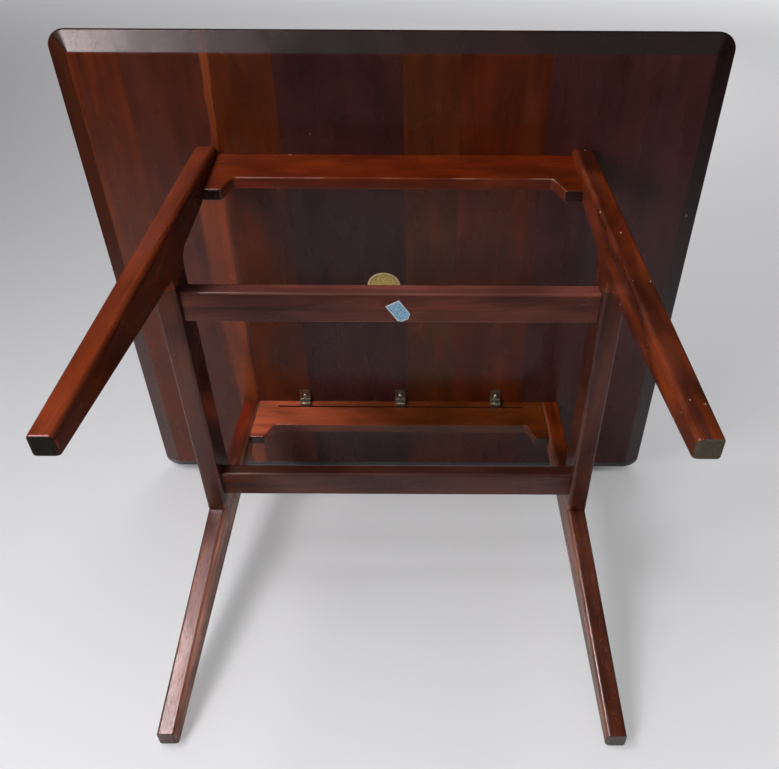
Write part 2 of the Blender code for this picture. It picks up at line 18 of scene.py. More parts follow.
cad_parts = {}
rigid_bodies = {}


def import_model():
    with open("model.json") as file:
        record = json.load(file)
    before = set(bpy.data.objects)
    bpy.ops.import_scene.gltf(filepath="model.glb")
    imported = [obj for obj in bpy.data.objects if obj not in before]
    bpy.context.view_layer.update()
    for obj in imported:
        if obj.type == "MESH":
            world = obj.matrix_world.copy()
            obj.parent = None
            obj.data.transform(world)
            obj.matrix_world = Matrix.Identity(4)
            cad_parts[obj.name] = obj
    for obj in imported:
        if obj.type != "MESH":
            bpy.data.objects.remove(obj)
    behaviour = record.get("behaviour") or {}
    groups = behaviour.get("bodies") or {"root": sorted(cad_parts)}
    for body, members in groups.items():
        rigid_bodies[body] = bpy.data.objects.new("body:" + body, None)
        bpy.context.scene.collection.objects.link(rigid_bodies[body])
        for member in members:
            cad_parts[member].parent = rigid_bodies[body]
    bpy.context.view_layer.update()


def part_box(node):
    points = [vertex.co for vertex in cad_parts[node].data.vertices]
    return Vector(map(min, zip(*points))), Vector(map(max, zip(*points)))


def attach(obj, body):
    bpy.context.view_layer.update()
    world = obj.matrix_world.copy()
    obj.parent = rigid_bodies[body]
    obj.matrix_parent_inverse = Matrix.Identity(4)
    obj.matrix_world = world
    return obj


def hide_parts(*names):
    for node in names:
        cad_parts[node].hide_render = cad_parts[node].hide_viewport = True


for leftover in list(bpy.data.objects):
    bpy.data.objects.remove(leftover)
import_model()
SIDES = {"left": -1, "right": 1}
ENDS = {"front": -1, "back": 1}

# %% [markdown]
# ## The camera
#
# The table lies tipped on the back edge of its top and its two back feet, and the camera looks
# down at it from the front. In the table's own frame that is a view from below. The place and the
# direction come from a fit of the table's straight edges, and the small shift stands for the crop.

# %% Camera
CAMERA_PLACE = Vector((0.04221, -0.90759, -0.51644))
CAMERA_AHEAD = Vector((0.00125, 0.71750, 0.69655)).normalized()
CAMERA_RIGHT = Vector((0.99999, -0.00425, 0.00258)).normalized()
LENS_MM = 46.7
CROP_SHIFT = (-0.0526, -0.0295)


def add_camera():
    """A camera whose axes are right, up (right crossed with ahead) and straight back."""
    data = bpy.data.cameras.new("camera")
    data.lens = LENS_MM
    data.shift_x, data.shift_y = CROP_SHIFT
    camera = bpy.data.objects.new("camera", data)
    bpy.context.scene.collection.objects.link(camera)
    up = CAMERA_RIGHT.cross(CAMERA_AHEAD)
    turn = Matrix((CAMERA_RIGHT, up, -CAMERA_AHEAD)).transposed()
    camera.matrix_world = Matrix.Translation(CAMERA_PLACE) @ turn.to_4x4()
    bpy.context.scene.camera = camera
    return camera


camera = add_camera()
bpy.context.scene.view_settings.view_transform = "Standard"
print("camera", [round(x, 3) for x in camera.location], "lens", LENS_MM)

# %% [markdown]
# ## Sizes
#
# Where a box of a node says how big a piece is, the size is read from it. What a box can't say,
# such as the width of a leg at its knee, is named here in metres.

# %% Sizes
FIT = 0.0003
top_low, top_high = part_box("tabletop")
leg_low, leg_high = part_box("leg_back_right")
rail_low, rail_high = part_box("side_rail_right")
cross_low, cross_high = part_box("cross_rail_back")
apron_low, apron_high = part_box("apron_back")

TOP_HALF = top_high.x
TOP_THICKNESS = top_high.z - top_low.z
UNDERSIDE = top_low.z
RIM_HEIGHT = 0.0045
BEVEL_REACH = 0.022
RIM_CORNER_RADIUS = 0.022
FIELD_CORNER_RADIUS = 0.003
RIM_EDGE_RADIUS = 0.0015
BEVEL_EDGE_RADIUS = 0.010

LEG_THICKNESS = 0.0241
LEG_HEAD_X = TOP_HALF - 0.1426
LEG_HEAD_Y = TOP_HALF - 0.1400
LEG_INNER_X = LEG_HEAD_X - LEG_THICKNESS
LEG_LEAN = leg_high.x - LEG_HEAD_X
LEG_SPLAY = leg_high.y - LEG_HEAD_Y
LEG_HEAD_WIDTH = 0.0262
LEG_CROOK_WIDTH = 0.0465
LEG_KNEE_WIDTH = 0.0551
LEG_FOOT_WIDTH = 0.0256
CROOK_RADIUS = 0.013
LEG_FACE_ROUND = 0.006
LEG_OUTER_ROUND = 0.003
LEG_INNER_ROUND = 0.004
FOOT_ROUND = 0.0010
FOOT_CORNER = 0.0016

RAIL_TOP = rail_high.z
RAIL_BOTTOM = rail_low.z
STUB_END_Y = leg_low.y
CROSS_RAIL_ROUND = 0.0035
APRON_EDGE_ROUND = 0.002
APRON_HEIGHT = 0.047
HAUNCH_LENGTH = 0.0130
HAUNCH_SLOPE_RUN = 0.0128
HAUNCH_ROUND = 0.004
print("top", round(2 * TOP_HALF, 3), "underside at", round(UNDERSIDE, 4))

# %% [markdown]
# ## Surfaces from grids
#
# Apart from the top, every wooden piece is a flat outline with a thickness and rounded edges.
# Bevelling a box would do for one rail, but a leg has a crook, a knee and edges of four different
# radii. So one function draws the band round an outline as a grid of points: along the rows it
# follows the outline, and down the columns it goes over one rounded edge, across the thickness
# and over the other. The two flat faces close it.

# %% Rounded corners
TINY = 1e-6


def rounded_corner(before, corner, after, radius, steps):
    """Arc between two runs: its centre lies on the angle's halving line at radius / sin(half),
    and it starts radius / tan(half) back from the corner."""
    corner = np.array(corner, float)
    back = np.array(before, float) - corner
    ahead = np.array(after, float) - corner
    back /= np.linalg.norm(back)
    ahead /= np.linalg.norm(ahead)
    half = math.acos(np.clip(back @ ahead, -1, 1)) / 2
    middle = (back + ahead) / np.linalg.norm(back + ahead)
    centre = corner + middle * radius / math.sin(half)
    spoke = corner + back * radius / math.tan(half) - centre
    turn = math.copysign(math.pi - 2 * half, back[1] * ahead[0] - back[0] * ahead[1])
    angle = np.linspace(0, turn, steps + 1)
    across = np.stack([np.cos(angle), np.sin(angle)], axis=1) * spoke[0]
    along = np.stack([-np.sin(angle), np.cos(angle)], axis=1) * spoke[1]
    return centre + across + along


def inset_steps(outline, shares):
    """How far each corner moves for one unit of inset. Each side moves in by its own share, and
    the corner goes to where its two moved sides cross: with unit normals m, n and c = m.n, that
    is ((f - g c) m + (g - f c) n) / (1 - c c), or f (m + n) / (1 + c) where both shares are f."""
    side = np.roll(outline, -1, axis=0) - outline
    x, y = outline.T
    area = np.sum(x * np.roll(y, -1) - y * np.roll(x, -1))
    side /= np.linalg.norm(side, axis=1, keepdims=True)
    after = np.stack([-side[:, 1], side[:, 0]], axis=1) * np.sign(area)
    before = np.roll(after, 1, axis=0)
    g = shares[:, None]
    f = np.roll(g, 1, axis=0)
    c = np.sum(before * after, axis=1, keepdims=True)
    even = f * (before + after) / (1 + c)
    uneven = ((f - g * c) * before + (g - f * c) * after) / np.maximum(1 - c * c, TINY)
    return np.where(np.abs(f - g) < TINY, even, uneven)


def carried_corner(before, corner, after, radius, steps, shares):
    """A small rounded corner whose sides keep their place beside each other: each chord's share
    is m.n, where n is its normal and m the way that the sharp corner itself would move."""
    arc = rounded_corner(before, corner, after, radius, steps)
    path = np.array([before, *arc, after], float)
    side = path[1:] - path[:-1]
    side /= np.linalg.norm(side, axis=1, keepdims=True)
    normal = np.stack([-side[:, 1], side[:, 0]], axis=1)
    move = np.linalg.solve(normal[[0, -1]], np.array(shares, float))
    return arc.tolist(), [tuple(pair) for pair in normal[1:] @ move]


print("corner of two runs", rounded_corner((1, 0), (0, 0), (0, 1), 0.5, 2).round(3).tolist())

# %% [markdown]
# A board is the band round an outline. On a real plank a plane or a sander rounds each edge by
# itself, so each side of the outline may have its own radius on either face.


# %% Boards
def board(outline, half, near_radii, far_radii, steps=6):
    """Band round an outline: with q from 0 to 90 degrees, a face's edge is at inset r (1 - sin q)
    and at r (1 - cos q) from the face. Gives rows of points (across, up, through) and an edge
    mask, sin 2q, that is 1 in the middle of each rounding. Radii are given for each side."""
    q = np.linspace(0, math.pi / 2, steps + 1)
    rows = []
    edge = []
    for radii, face in ((near_radii, -1), (far_radii, 1)):
        radius = max(radii)
        moved = inset_steps(outline, np.array(radii) / radius)
        inset = radius * (1 - np.sin(q))[:, None, None] * moved[None]
        through = face * (half - radius * (1 - np.cos(q)))
        flat = outline[None] + inset
        deep = np.broadcast_to(through[:, None, None], flat.shape[:2] + (1,))
        half_band = np.concatenate([flat, deep], axis=2)
        mask = np.broadcast_to(np.sin(2 * q)[:, None], flat.shape[:2])
        rows.append(half_band if face < 0 else half_band[::-1])
        edge.append(mask if face < 0 else mask[::-1])
    return np.concatenate(rows), np.concatenate(edge)


SQUARE = np.array([(0, 0), (1, 0), (1, 1), (0, 1)], float)
print("band round a square board", board(SQUARE, 0.1, (0.01,) * 4, (0.01,) * 4)[0].shape)


# %% Faces of a grid
def grid_quads(rows, columns, closed_rows=False):
    """Quads of a grid whose columns wrap round: each joins a point to the next along its row and
    to the two below. With closed_rows the last row joins the first."""
    row = np.arange(rows if closed_rows else rows - 1)[:, None]
    column = np.arange(columns)[None, :]
    next_row = (row + 1) % rows
    next_column = (column + 1) % columns
    quads = np.stack(
        [
            row * columns + column,
            row * columns + next_column,
            next_row * columns + next_column,
            next_row * columns + column,
        ],
        axis=-1,
    )
    return quads.reshape(-1, 4).tolist()


def band_faces(rows, columns):
    """Quads of a band and the two flat faces that close it."""
    faces = grid_quads(rows, columns)
    faces.append(list(range(columns)))
    faces.append(list(range((rows - 1) * columns, rows * columns)))
    return faces


print("faces of a band of 3 by 4 points", len(band_faces(3, 4)))

# %% [markdown]
# ## Pieces
#
# A piece becomes a mesh with two more values at each point. Its place in its own plank lets the
# figure follow the board, however the leg leans. Its edge mask tells the finish where hands and
# cloths have rubbed, and on the front right leg and the front apron where a painted highlight lies.
# Normals weighted by face area keep the flat faces flat beside round edges.

# %% Making a piece
SHARP_FROM_DEGREES = 32


def add_piece(name, points, faces, finish, place=None, edge=None):
    """Make a mesh from points and faces, with the point values that the finish reads: place is
    where a point lies in the piece's own plank or plate, edge is 1 where an edge is rubbed, which on
    two pieces also places a painted highlight."""
    mesh = bpy.data.meshes.new(name)
    mesh.from_pydata(np.reshape(points, (-1, 3)).tolist(), [], faces)
    if place is not None:
        values = mesh.attributes.new("place", "FLOAT_VECTOR", "POINT")
        values.data.foreach_set("vector", np.reshape(place, -1).astype(np.float32))
    if edge is not None:
        values = mesh.attributes.new("edge", "FLOAT", "POINT")
        values.data.foreach_set("value", np.reshape(edge, -1).astype(np.float32))
    turned = bmesh.new()
    turned.from_mesh(mesh)
    bmesh.ops.recalc_face_normals(turned, faces=turned.faces)
    turned.to_mesh(mesh)
    turned.free()
    mesh.shade_smooth()
    mesh.set_sharp_from_angle(angle=math.radians(SHARP_FROM_DEGREES))
    mesh.materials.append(finish)
    piece = bpy.data.objects.new(name + "_shaped", mesh)
    bpy.context.scene.collection.objects.link(piece)
    even = piece.modifiers.new("even_shading", "WEIGHTED_NORMAL")
    even.keep_sharp = True
    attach(piece, "root")
    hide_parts(name)
    print(name, len(mesh.vertices), "points")
    return piece


print("edges are sharp from", SHARP_FROM_DEGREES, "degrees")

# %% [markdown]
# ## Finishes
#
# The wood is an oiled rosewood: red brown with darker veins that run along the plank, fine fibres
# and open pores. A picture of wood would show seams, so the figure is worked out in the plank's
# own space: slow noise bends the growth rings round a pith line, stretched noise gives veins and
# fibres, and a threshold on finer noise gives pores. It's a node group, because the top, legs,
# rails and aprons all use it with colours of their own.


# %% Node helpers
def set_input(tree, socket, value):
    """Give an input a value, or link it to an output."""
    if isinstance(value, bpy.types.NodeSocket):
        tree.links.new(value, socket)
    elif socket.type == "RGBA" and len(value) == 3:
        socket.default_value = (*value, 1)
    else:
        socket.default_value = value


def add_node(tree, kind, inputs=None, **settings):
    """A node with its settings, and its inputs given as values or as sockets to link."""
    made = tree.nodes.new(kind)
    for key, value in settings.items():
        setattr(made, key, value)
    for key, value in (inputs or {}).items():
        set_input(tree, made.inputs[key], value)
    return made


def add_group(tree, group, inputs):
    """A node group placed in a tree with its inputs."""
    placed = add_node(tree, "ShaderNodeGroup", node_tree=group)
    for key, value in inputs.items():
        set_input(tree, placed.inputs[key], value)
    return placed


print("node helpers", [helper.__name__ for helper in (set_input, add_node, add_group)])


# %% Short names for number nodes
def calculate(tree, operation, first, second=0.0, third=0.0):
    """The output of a Math node."""
    values = {0: first, 1: second, 2: third}
    return add_node(tree, "ShaderNodeMath", values, operation=operation).outputs[0]


def map_range(tree, value, low, high, to_low=0.0, to_high=1.0, smooth=True):
    """The output of a Map Range node, eased at both ends unless told otherwise."""
    values = {"Value": value, "From Min": low, "From Max": high, "To Min": to_low, "To Max": to_high}
    kind = "SMOOTHSTEP" if smooth else "LINEAR"
    return add_node(tree, "ShaderNodeMapRange", values, interpolation_type=kind).outputs["Result"]


def vector_math(tree, operation, first, second):
    """The output of a Vector Math node."""
    return add_node(tree, "ShaderNodeVectorMath", {0: first, 1: second}, operation=operation).outputs[0]


print("number nodes", [helper.__name__ for helper in (calculate, map_range, vector_math)])

# %% Short names for noise, colours and groups
VALUE = "NodeSocketFloat"
COLOUR = "NodeSocketColor"
VECTOR = "NodeSocketVector"
# A Mix node also has sockets for numbers and vectors. These are its factor and its two colours.
MIX_COLOUR_INPUTS = (0, 6, 7)
MIX_COLOUR_RESULT = 2


def stretched(tree, place, scale):
    """A place in the plank, stretched for a noise that reads it."""
    return add_node(tree, "ShaderNodeMapping", {"Vector": place, "Scale": scale}).outputs["Vector"]


def noise(tree, place, scale, detail=2.0, roughness=0.5, output="Fac"):
    """Noise at a scale of its own along each axis, in features per metre."""
    values = {"Vector": stretched(tree, place, scale), "Scale": 1.0}
    values.update({"Detail": detail, "Roughness": roughness})
    return add_node(tree, "ShaderNodeTexNoise", values).outputs[output]


def mix_colour(tree, factor, first, second, blend="MIX"):
    """The output of a Mix node for colours."""
    made = tree.nodes.new("ShaderNodeMix")
    made.data_type = "RGBA"
    made.blend_type = blend
    for index, value in zip(MIX_COLOUR_INPUTS, (factor, first, second)):
        set_input(tree, made.inputs[index], value)
    return made.outputs[MIX_COLOUR_RESULT]


def new_group(name, inputs, outputs):
    """A shader node group and its input and output nodes."""
    tree = bpy.data.node_groups.new(name, "ShaderNodeTree")
    for label, kind, value in inputs:
        socket = tree.interface.new_socket(label, in_out="INPUT", socket_type=kind)
        if value is not None:
            socket.default_value = value
    for label, kind in outputs:
        tree.interface.new_socket(label, in_out="OUTPUT", socket_type=kind)
    return tree, tree.nodes.new("NodeGroupInput"), tree.nodes.new("NodeGroupOutput")


print("socket kinds", VALUE, COLOUR, VECTOR)


# %% Scales of the figure
PITH_OFFSET = (0.004, 0.026, 0.0)
TRUNK_TAPER = 0.05
RING_SPACING = 0.0042
RING_FROM = -0.5
DRIFT_REACH = (0.014, 0.014, 0.0)
# Features in a metre of each noise: across the plank, through it and along it.
FIGURE_SCALES = {
    "drift": (11, 11, 2.6),
    "ring_patches": (45, 45, 4),
    "veins": (80, 80, 2.4),
    "warm_patches": (30, 30, 6),
    "fibres": (900, 900, 16),
    "pores": (1300, 1300, 26),
    "clouds": (28, 28, 10),
    "sheen": (18, 18, 7),
}
# Where each noise starts to show and where it shows in full.
FIGURE_LIMITS = {
    "ring_patches": (0.35, 0.7),
    "veins": (0.48, 0.80),
    "warm_patches": (0.38, 0.72),
    "pores": (0.63, 0.75),
}
MOST_NOISE = (0.3, 0.7)
FIBRE_LEVELS = (0.92, 1.08)
FIBRE_HEIGHT = 0.35
PORE_LEVEL = 0.80
PORE_HEIGHT = -0.6
print("noises in the figure", len(FIGURE_SCALES))


# %% Rosewood figure
def figure_noise(tree, place, kind, detail=2.0, roughness=0.5):
    """One of the figure's noises, between its own limits."""
    value = noise(tree, place, FIGURE_SCALES[kind], detail, roughness)
    return map_range(tree, value, *FIGURE_LIMITS[kind])


def make_figure_group():
    """Figure of a plank: warm patches, rings, veins, fibres and pores over its own colour."""
    tree, given, out = new_group(
        "rosewood_figure",
        [
            ("Place", VECTOR, None),
            ("Wood", COLOUR, (0.1, 0.03, 0.015, 1)),
            ("Vein", COLOUR, (0.02, 0.008, 0.006, 1)),
            ("Warm", COLOUR, (0.15, 0.03, 0.005, 1)),
            ("Warm Amount", VALUE, 0.5),
            ("Vein Amount", VALUE, 0.6),
            ("Ring Amount", VALUE, 0.35),
            ("Mottle", VALUE, 0.26),
        ],
        [("Color", COLOUR), ("Height", VALUE), ("Sheen", VALUE)],
    )
    place = given.outputs["Place"]
    drift = noise(tree, place, FIGURE_SCALES["drift"], 1.0, 0.4, "Color")
    centred = vector_math(tree, "SUBTRACT", drift, (0.5, 0.5, 0.5))
    bent = vector_math(tree, "ADD", place, vector_math(tree, "MULTIPLY", centred, DRIFT_REACH))
    from_pith = vector_math(tree, "MULTIPLY", vector_math(tree, "ADD", bent, PITH_OFFSET), (1, 1, 0))
    radius = add_node(tree, "ShaderNodeVectorMath", {0: from_pith}, operation="LENGTH").outputs["Value"]
    along = add_node(tree, "ShaderNodeSeparateXYZ", {0: place}).outputs["Z"]
    grown = calculate(tree, "MULTIPLY_ADD", along, TRUNK_TAPER, radius)
    wave = calculate(tree, "SINE", calculate(tree, "MULTIPLY", grown, 2 * math.pi / RING_SPACING))
    ring = map_range(tree, wave, RING_FROM, 1.0)
    ring = calculate(tree, "MULTIPLY", ring, figure_noise(tree, bent, "ring_patches"))
    vein = figure_noise(tree, bent, "veins", 2.0, 0.55)
    patch = figure_noise(tree, bent, "warm_patches", 2.0, 0.55)
    fibre = noise(tree, bent, FIGURE_SCALES["fibres"], 2.0)
    pores = figure_noise(tree, bent, "pores", 1.0)
    warmth = calculate(tree, "MULTIPLY", patch, given.outputs["Warm Amount"])
    colour = mix_colour(tree, warmth, given.outputs["Wood"], given.outputs["Warm"])
    fade = calculate(tree, "MULTIPLY", ring, given.outputs["Ring Amount"])
    colour = mix_colour(tree, fade, colour, given.outputs["Vein"])
    strength = calculate(tree, "MULTIPLY", vein, given.outputs["Vein Amount"])
    colour = mix_colour(tree, strength, colour, given.outputs["Vein"])
    clouds = noise(tree, place, FIGURE_SCALES["clouds"], 2.0, 0.55)
    clouds = map_range(tree, clouds, *MOST_NOISE, -1.0, 1.0)
    clouds = calculate(tree, "MULTIPLY_ADD", clouds, given.outputs["Mottle"], 1.0)
    fine = map_range(tree, fibre, *MOST_NOISE, *FIBRE_LEVELS)
    level = calculate(tree, "MULTIPLY", clouds, fine)
    level = calculate(tree, "MULTIPLY", level, map_range(tree, pores, 0.0, 1.0, 1.0, PORE_LEVEL))
    tone = add_node(tree, "ShaderNodeCombineColor", {0: level, 1: level, 2: level}).outputs[0]
    tree.links.new(mix_colour(tree, 1.0, colour, tone, "MULTIPLY"), out.inputs["Color"])
    sunk = calculate(tree, "MULTIPLY", pores, PORE_HEIGHT)
    height = calculate(tree, "MULTIPLY_ADD", fibre, FIBRE_HEIGHT, sunk)
    tree.links.new(height, out.inputs["Height"])
    tree.links.new(noise(tree, place, FIGURE_SCALES["sheen"], 3.0), out.inputs["Sheen"])
    return tree


FIGURE = make_figure_group()
print("figure nodes", len(FIGURE.nodes))

# %% [markdown]
# Years of use show as edges rubbed pale here and there, and as small nicks in the oil. Dirt and
# paint could do the same by hand, but a mask from the shape itself lands on the edges for sure,
# and a random share of the cells of a Voronoi pattern gives nicks that are rare and uneven. On the
# front right leg and the front apron the pale rubbed edges are also a painted highlight.

# %% Rubbed edges and small nicks
RUB_SCALE = (70, 70, 22)
RUB_LIMITS = (0.42, 0.66)
RUB_EDGE_FROM = 0.45
NICK_SCALE = (85, 85, 60)
NICK_OUTLINE_SCALE = (700, 700, 400)
NICK_RAGGED = (0.22, 0.22, 0.22)


def make_wear_group():
    """Wear: an edge mask broken up by noise, and rare small nicks, the cells of a Voronoi pattern
    whose random colour passes a threshold, drawn where the distance to the cell's point is small."""
    tree, given, out = new_group(
        "rubbed_edges",
        [
            ("Place", VECTOR, None),
            ("Edge", VALUE, 0.0),
            ("Nick Share", VALUE, 0.05),
            ("Nick Size", VALUE, 0.1),
        ],
        [("Rub", VALUE), ("Nick", VALUE)],
    )
    place = given.outputs["Place"]
    patches = map_range(tree, noise(tree, place, RUB_SCALE, 3.0, 0.6), *RUB_LIMITS)
    edge = map_range(tree, given.outputs["Edge"], RUB_EDGE_FROM, 1.0)
    tree.links.new(calculate(tree, "MULTIPLY", patches, edge), out.inputs["Rub"])
    spread = stretched(tree, place, NICK_SCALE)
    ragged = noise(tree, place, NICK_OUTLINE_SCALE, 1.0, 0.5, "Color")
    soft = vector_math(tree, "MULTIPLY", ragged, NICK_RAGGED)
    jittered = vector_math(tree, "ADD", spread, soft)
    cells = add_node(tree, "ShaderNodeTexVoronoi", {"Vector": jittered, "Scale": 1.0})
    lot = add_node(tree, "ShaderNodeSeparateColor", {0: cells.outputs["Color"]}).outputs[0]
    chosen = calculate(tree, "LESS_THAN", lot, given.outputs["Nick Share"])
    near = calculate(tree, "LESS_THAN", cells.outputs["Distance"], given.outputs["Nick Size"])
    tree.links.new(calculate(tree, "MULTIPLY", chosen, near), out.inputs["Nick"])
    return tree


WEAR = make_wear_group()
print("groups", [group.name for group in bpy.data.node_groups])

# %% [markdown]
# ## Rosewood in the material
#
# The groups give colours and masks, and the material joins them to its shader: figure, end grain,
# rubbed edges and nicks over each other, with roughness and a fine bump from the figure. Oil is a
# thin skin, so the shader keeps a plain specular level with a slightly warm tint.

# %% Start of a material
SHADER_NODE = "Principled BSDF"


def start_material(name, roughness, metallic=0.0, gloss=0.5, tint=(1, 1, 1)):
    """A material with its Principled shader, whose constant values are set on its own sockets."""
    made = bpy.data.materials.new(name)
    made.use_nodes = True
    shader = made.node_tree.nodes[SHADER_NODE]
    shader.inputs["Specular IOR Level"].default_value = gloss
    shader.inputs["Specular Tint"].default_value = (*tint, 1)
    shader.inputs["Roughness"].default_value = roughness
    shader.inputs["Metallic"].default_value = metallic
    return made, made.node_tree, shader


print("each finish starts from", SHADER_NODE)

# %% Wood on the shader
WOOD_BUMP_DEPTH = 0.0002


def finish_wood(tree, shader, place, edge, wood, vein, settings, cover=None):
    """Join the figure and the wear to the shader: colour, roughness and a fine bump. A cover is a
    mask and a colour that lie over the figure, such as end grain, which shows no veins."""
    figure_inputs = {
        "Place": place,
        "Wood": wood,
        "Vein": vein,
        "Warm": settings["warm"],
        "Warm Amount": settings["patches"],
        "Vein Amount": settings["veins"],
        "Ring Amount": settings["rings"],
        "Mottle": settings["mottle"],
    }
    figure = add_group(tree, FIGURE, figure_inputs)
    wear_inputs = {"Place": place, "Edge": edge}
    wear_inputs.update({"Nick Share": settings["nicks"], "Nick Size": settings["nick_size"]})
    wear = add_group(tree, WEAR, wear_inputs)
    colour = figure.outputs["Color"]
    if cover is not None:
        colour = mix_colour(tree, cover[0], colour, cover[1])
    # Rubbed edges: real wear, and on the front right leg and the front apron also a painted highlight.
    rub = calculate(tree, "MULTIPLY", wear.outputs["Rub"], settings["rub"])
    colour = mix_colour(tree, rub, colour, settings["bare"])
    chip = calculate(tree, "MULTIPLY", wear.outputs["Nick"], settings["chip"])
    colour = mix_colour(tree, chip, colour, settings["chip_colour"])
    tree.links.new(colour, shader.inputs["Base Color"])
    low, high = settings["roughness"]
    roughness = map_range(tree, figure.outputs["Sheen"], *MOST_NOISE, low, high)
    tree.links.new(roughness, shader.inputs["Roughness"])
    values = {"Height": figure.outputs["Height"], "Strength": settings["bump"]}
    bump = add_node(tree, "ShaderNodeBump", {**values, "Distance": WOOD_BUMP_DEPTH})
    tree.links.new(bump.outputs["Normal"], shader.inputs["Normal"])


print("depth of the wood's bump", WOOD_BUMP_DEPTH)

# %% Settings of oiled rosewood
OIL_ROUGHNESS = 0.34
OIL_GLOSS = 0.50
OIL_TINT = (1.0, 0.85, 0.86)
WOOD_SETTINGS = {
    "warm": (0.190, 0.030, 0.004),
    "patches": 0.6,
    "veins": 0.75,
    "rings": 0.30,
    "mottle": 0.34,
    "nicks": 0.02,
    "nick_size": 0.13,
    "rub": 0.15,
    "bare": (0.20, 0.065, 0.030),
    "chip": 0.8,
    "chip_colour": (0.40, 0.22, 0.15),
    "roughness": (0.20, 0.30),
    "bump": 0.40,
}
print("wood settings", len(WOOD_SETTINGS))

# %% [markdown]
# No plank has one shade from end to end. A leg's foot is soiled where it stands on the floor, and a
# shade turns along a piece between two places, which on the back apron is a painted light fading to
# a painted shade. One face, picked by its normal, may be painted lighter or darker for the way the
# lamps fall on it: painted light, painted shade and painted sheen. Each of these is a mask on the
# table's own axes or on the normal, so it stays put from every side.

# %% Shades of a plank
# Limits of the facing mask that places painted light and shade on one face.
PAINTED_FACING_LIMITS = (0.1, 0.8)
DIRT_SCALE = (420, 420, 420)
DIRT_LIMITS = (0.2, 0.8)
DIRT_WANDER = 0.0002


def turned_wood(tree, wood, other, axis, low, high):
    """Wood that turns to another shade between two places along one of the table's axes."""
    where = add_node(tree, "ShaderNodeTexCoord").outputs["Object"]
    along = add_node(tree, "ShaderNodeSeparateXYZ", {0: where}).outputs[axis]
    return mix_colour(tree, map_range(tree, along, low, high), wood, other)


def painted_facing_light(tree, wood, axis, side, other, share):
    """Painted light or shade: wood with another shade on the face that looks one way along an
    axis, by its normal.
    """
    normal = add_node(tree, "ShaderNodeTexCoord").outputs["Normal"]
    facing = add_node(tree, "ShaderNodeSeparateXYZ", {0: normal}).outputs[axis]
    toward = map_range(tree, calculate(tree, "MULTIPLY", facing, side), *PAINTED_FACING_LIMITS)
    return mix_colour(tree, calculate(tree, "MULTIPLY", toward, share), wood, other)


def cut_end(tree, level, dark, pale):
    """Mask and colour of the ends that lie below a level, whose edge wanders a little."""
    where = add_node(tree, "ShaderNodeTexCoord").outputs["Object"]
    height = add_node(tree, "ShaderNodeSeparateXYZ", {0: where}).outputs["Z"]
    dirt = map_range(tree, noise(tree, where, DIRT_SCALE, 3.0), *DIRT_LIMITS)
    reach = map_range(tree, dirt, 0.0, 1.0, level - DIRT_WANDER, level + DIRT_WANDER)
    mask = calculate(tree, "LESS_THAN", height, reach)
    return mask, mix_colour(tree, dirt, dark, pale)


def plank_finish(name, wood, vein, end=None, turns_to=None, face=None, **changes):
    """Rosewood for a piece that carries its own plank coordinates. Its lowest parts may take a
    colour of their own, its shade may turn along its length, and one face may carry a painted light
    or shade."""
    made, tree, shader = start_material(name, OIL_ROUGHNESS, gloss=OIL_GLOSS, tint=OIL_TINT)
    place = add_node(tree, "ShaderNodeAttribute", attribute_name="place").outputs["Vector"]
    edge = add_node(tree, "ShaderNodeAttribute", attribute_name="edge").outputs["Fac"]
    if turns_to:
        wood = turned_wood(tree, wood, *turns_to)
    # One face, picked by its normal, may carry a painted light or shade.
    if face:
        wood = painted_facing_light(tree, wood, *face)
    cover = cut_end(tree, *end) if end else None
    finish_wood(tree, shader, place, edge, wood, vein, {**WOOD_SETTINGS, **changes}, cover)
    return made


print("shades", [shade.__name__ for shade in (turned_wood, painted_facing_light, cut_end)])

# %% [markdown]
# The four legs were cut from different planks: the front ones are red and worn, the back ones
# brown, with red heads. Their inner faces carry painted light and shade: a painted shade on the
# front left, a painted light on the front right and a pale painted sheen on both back legs. The
# front right leg's rubbed edges also carry a painted highlight.

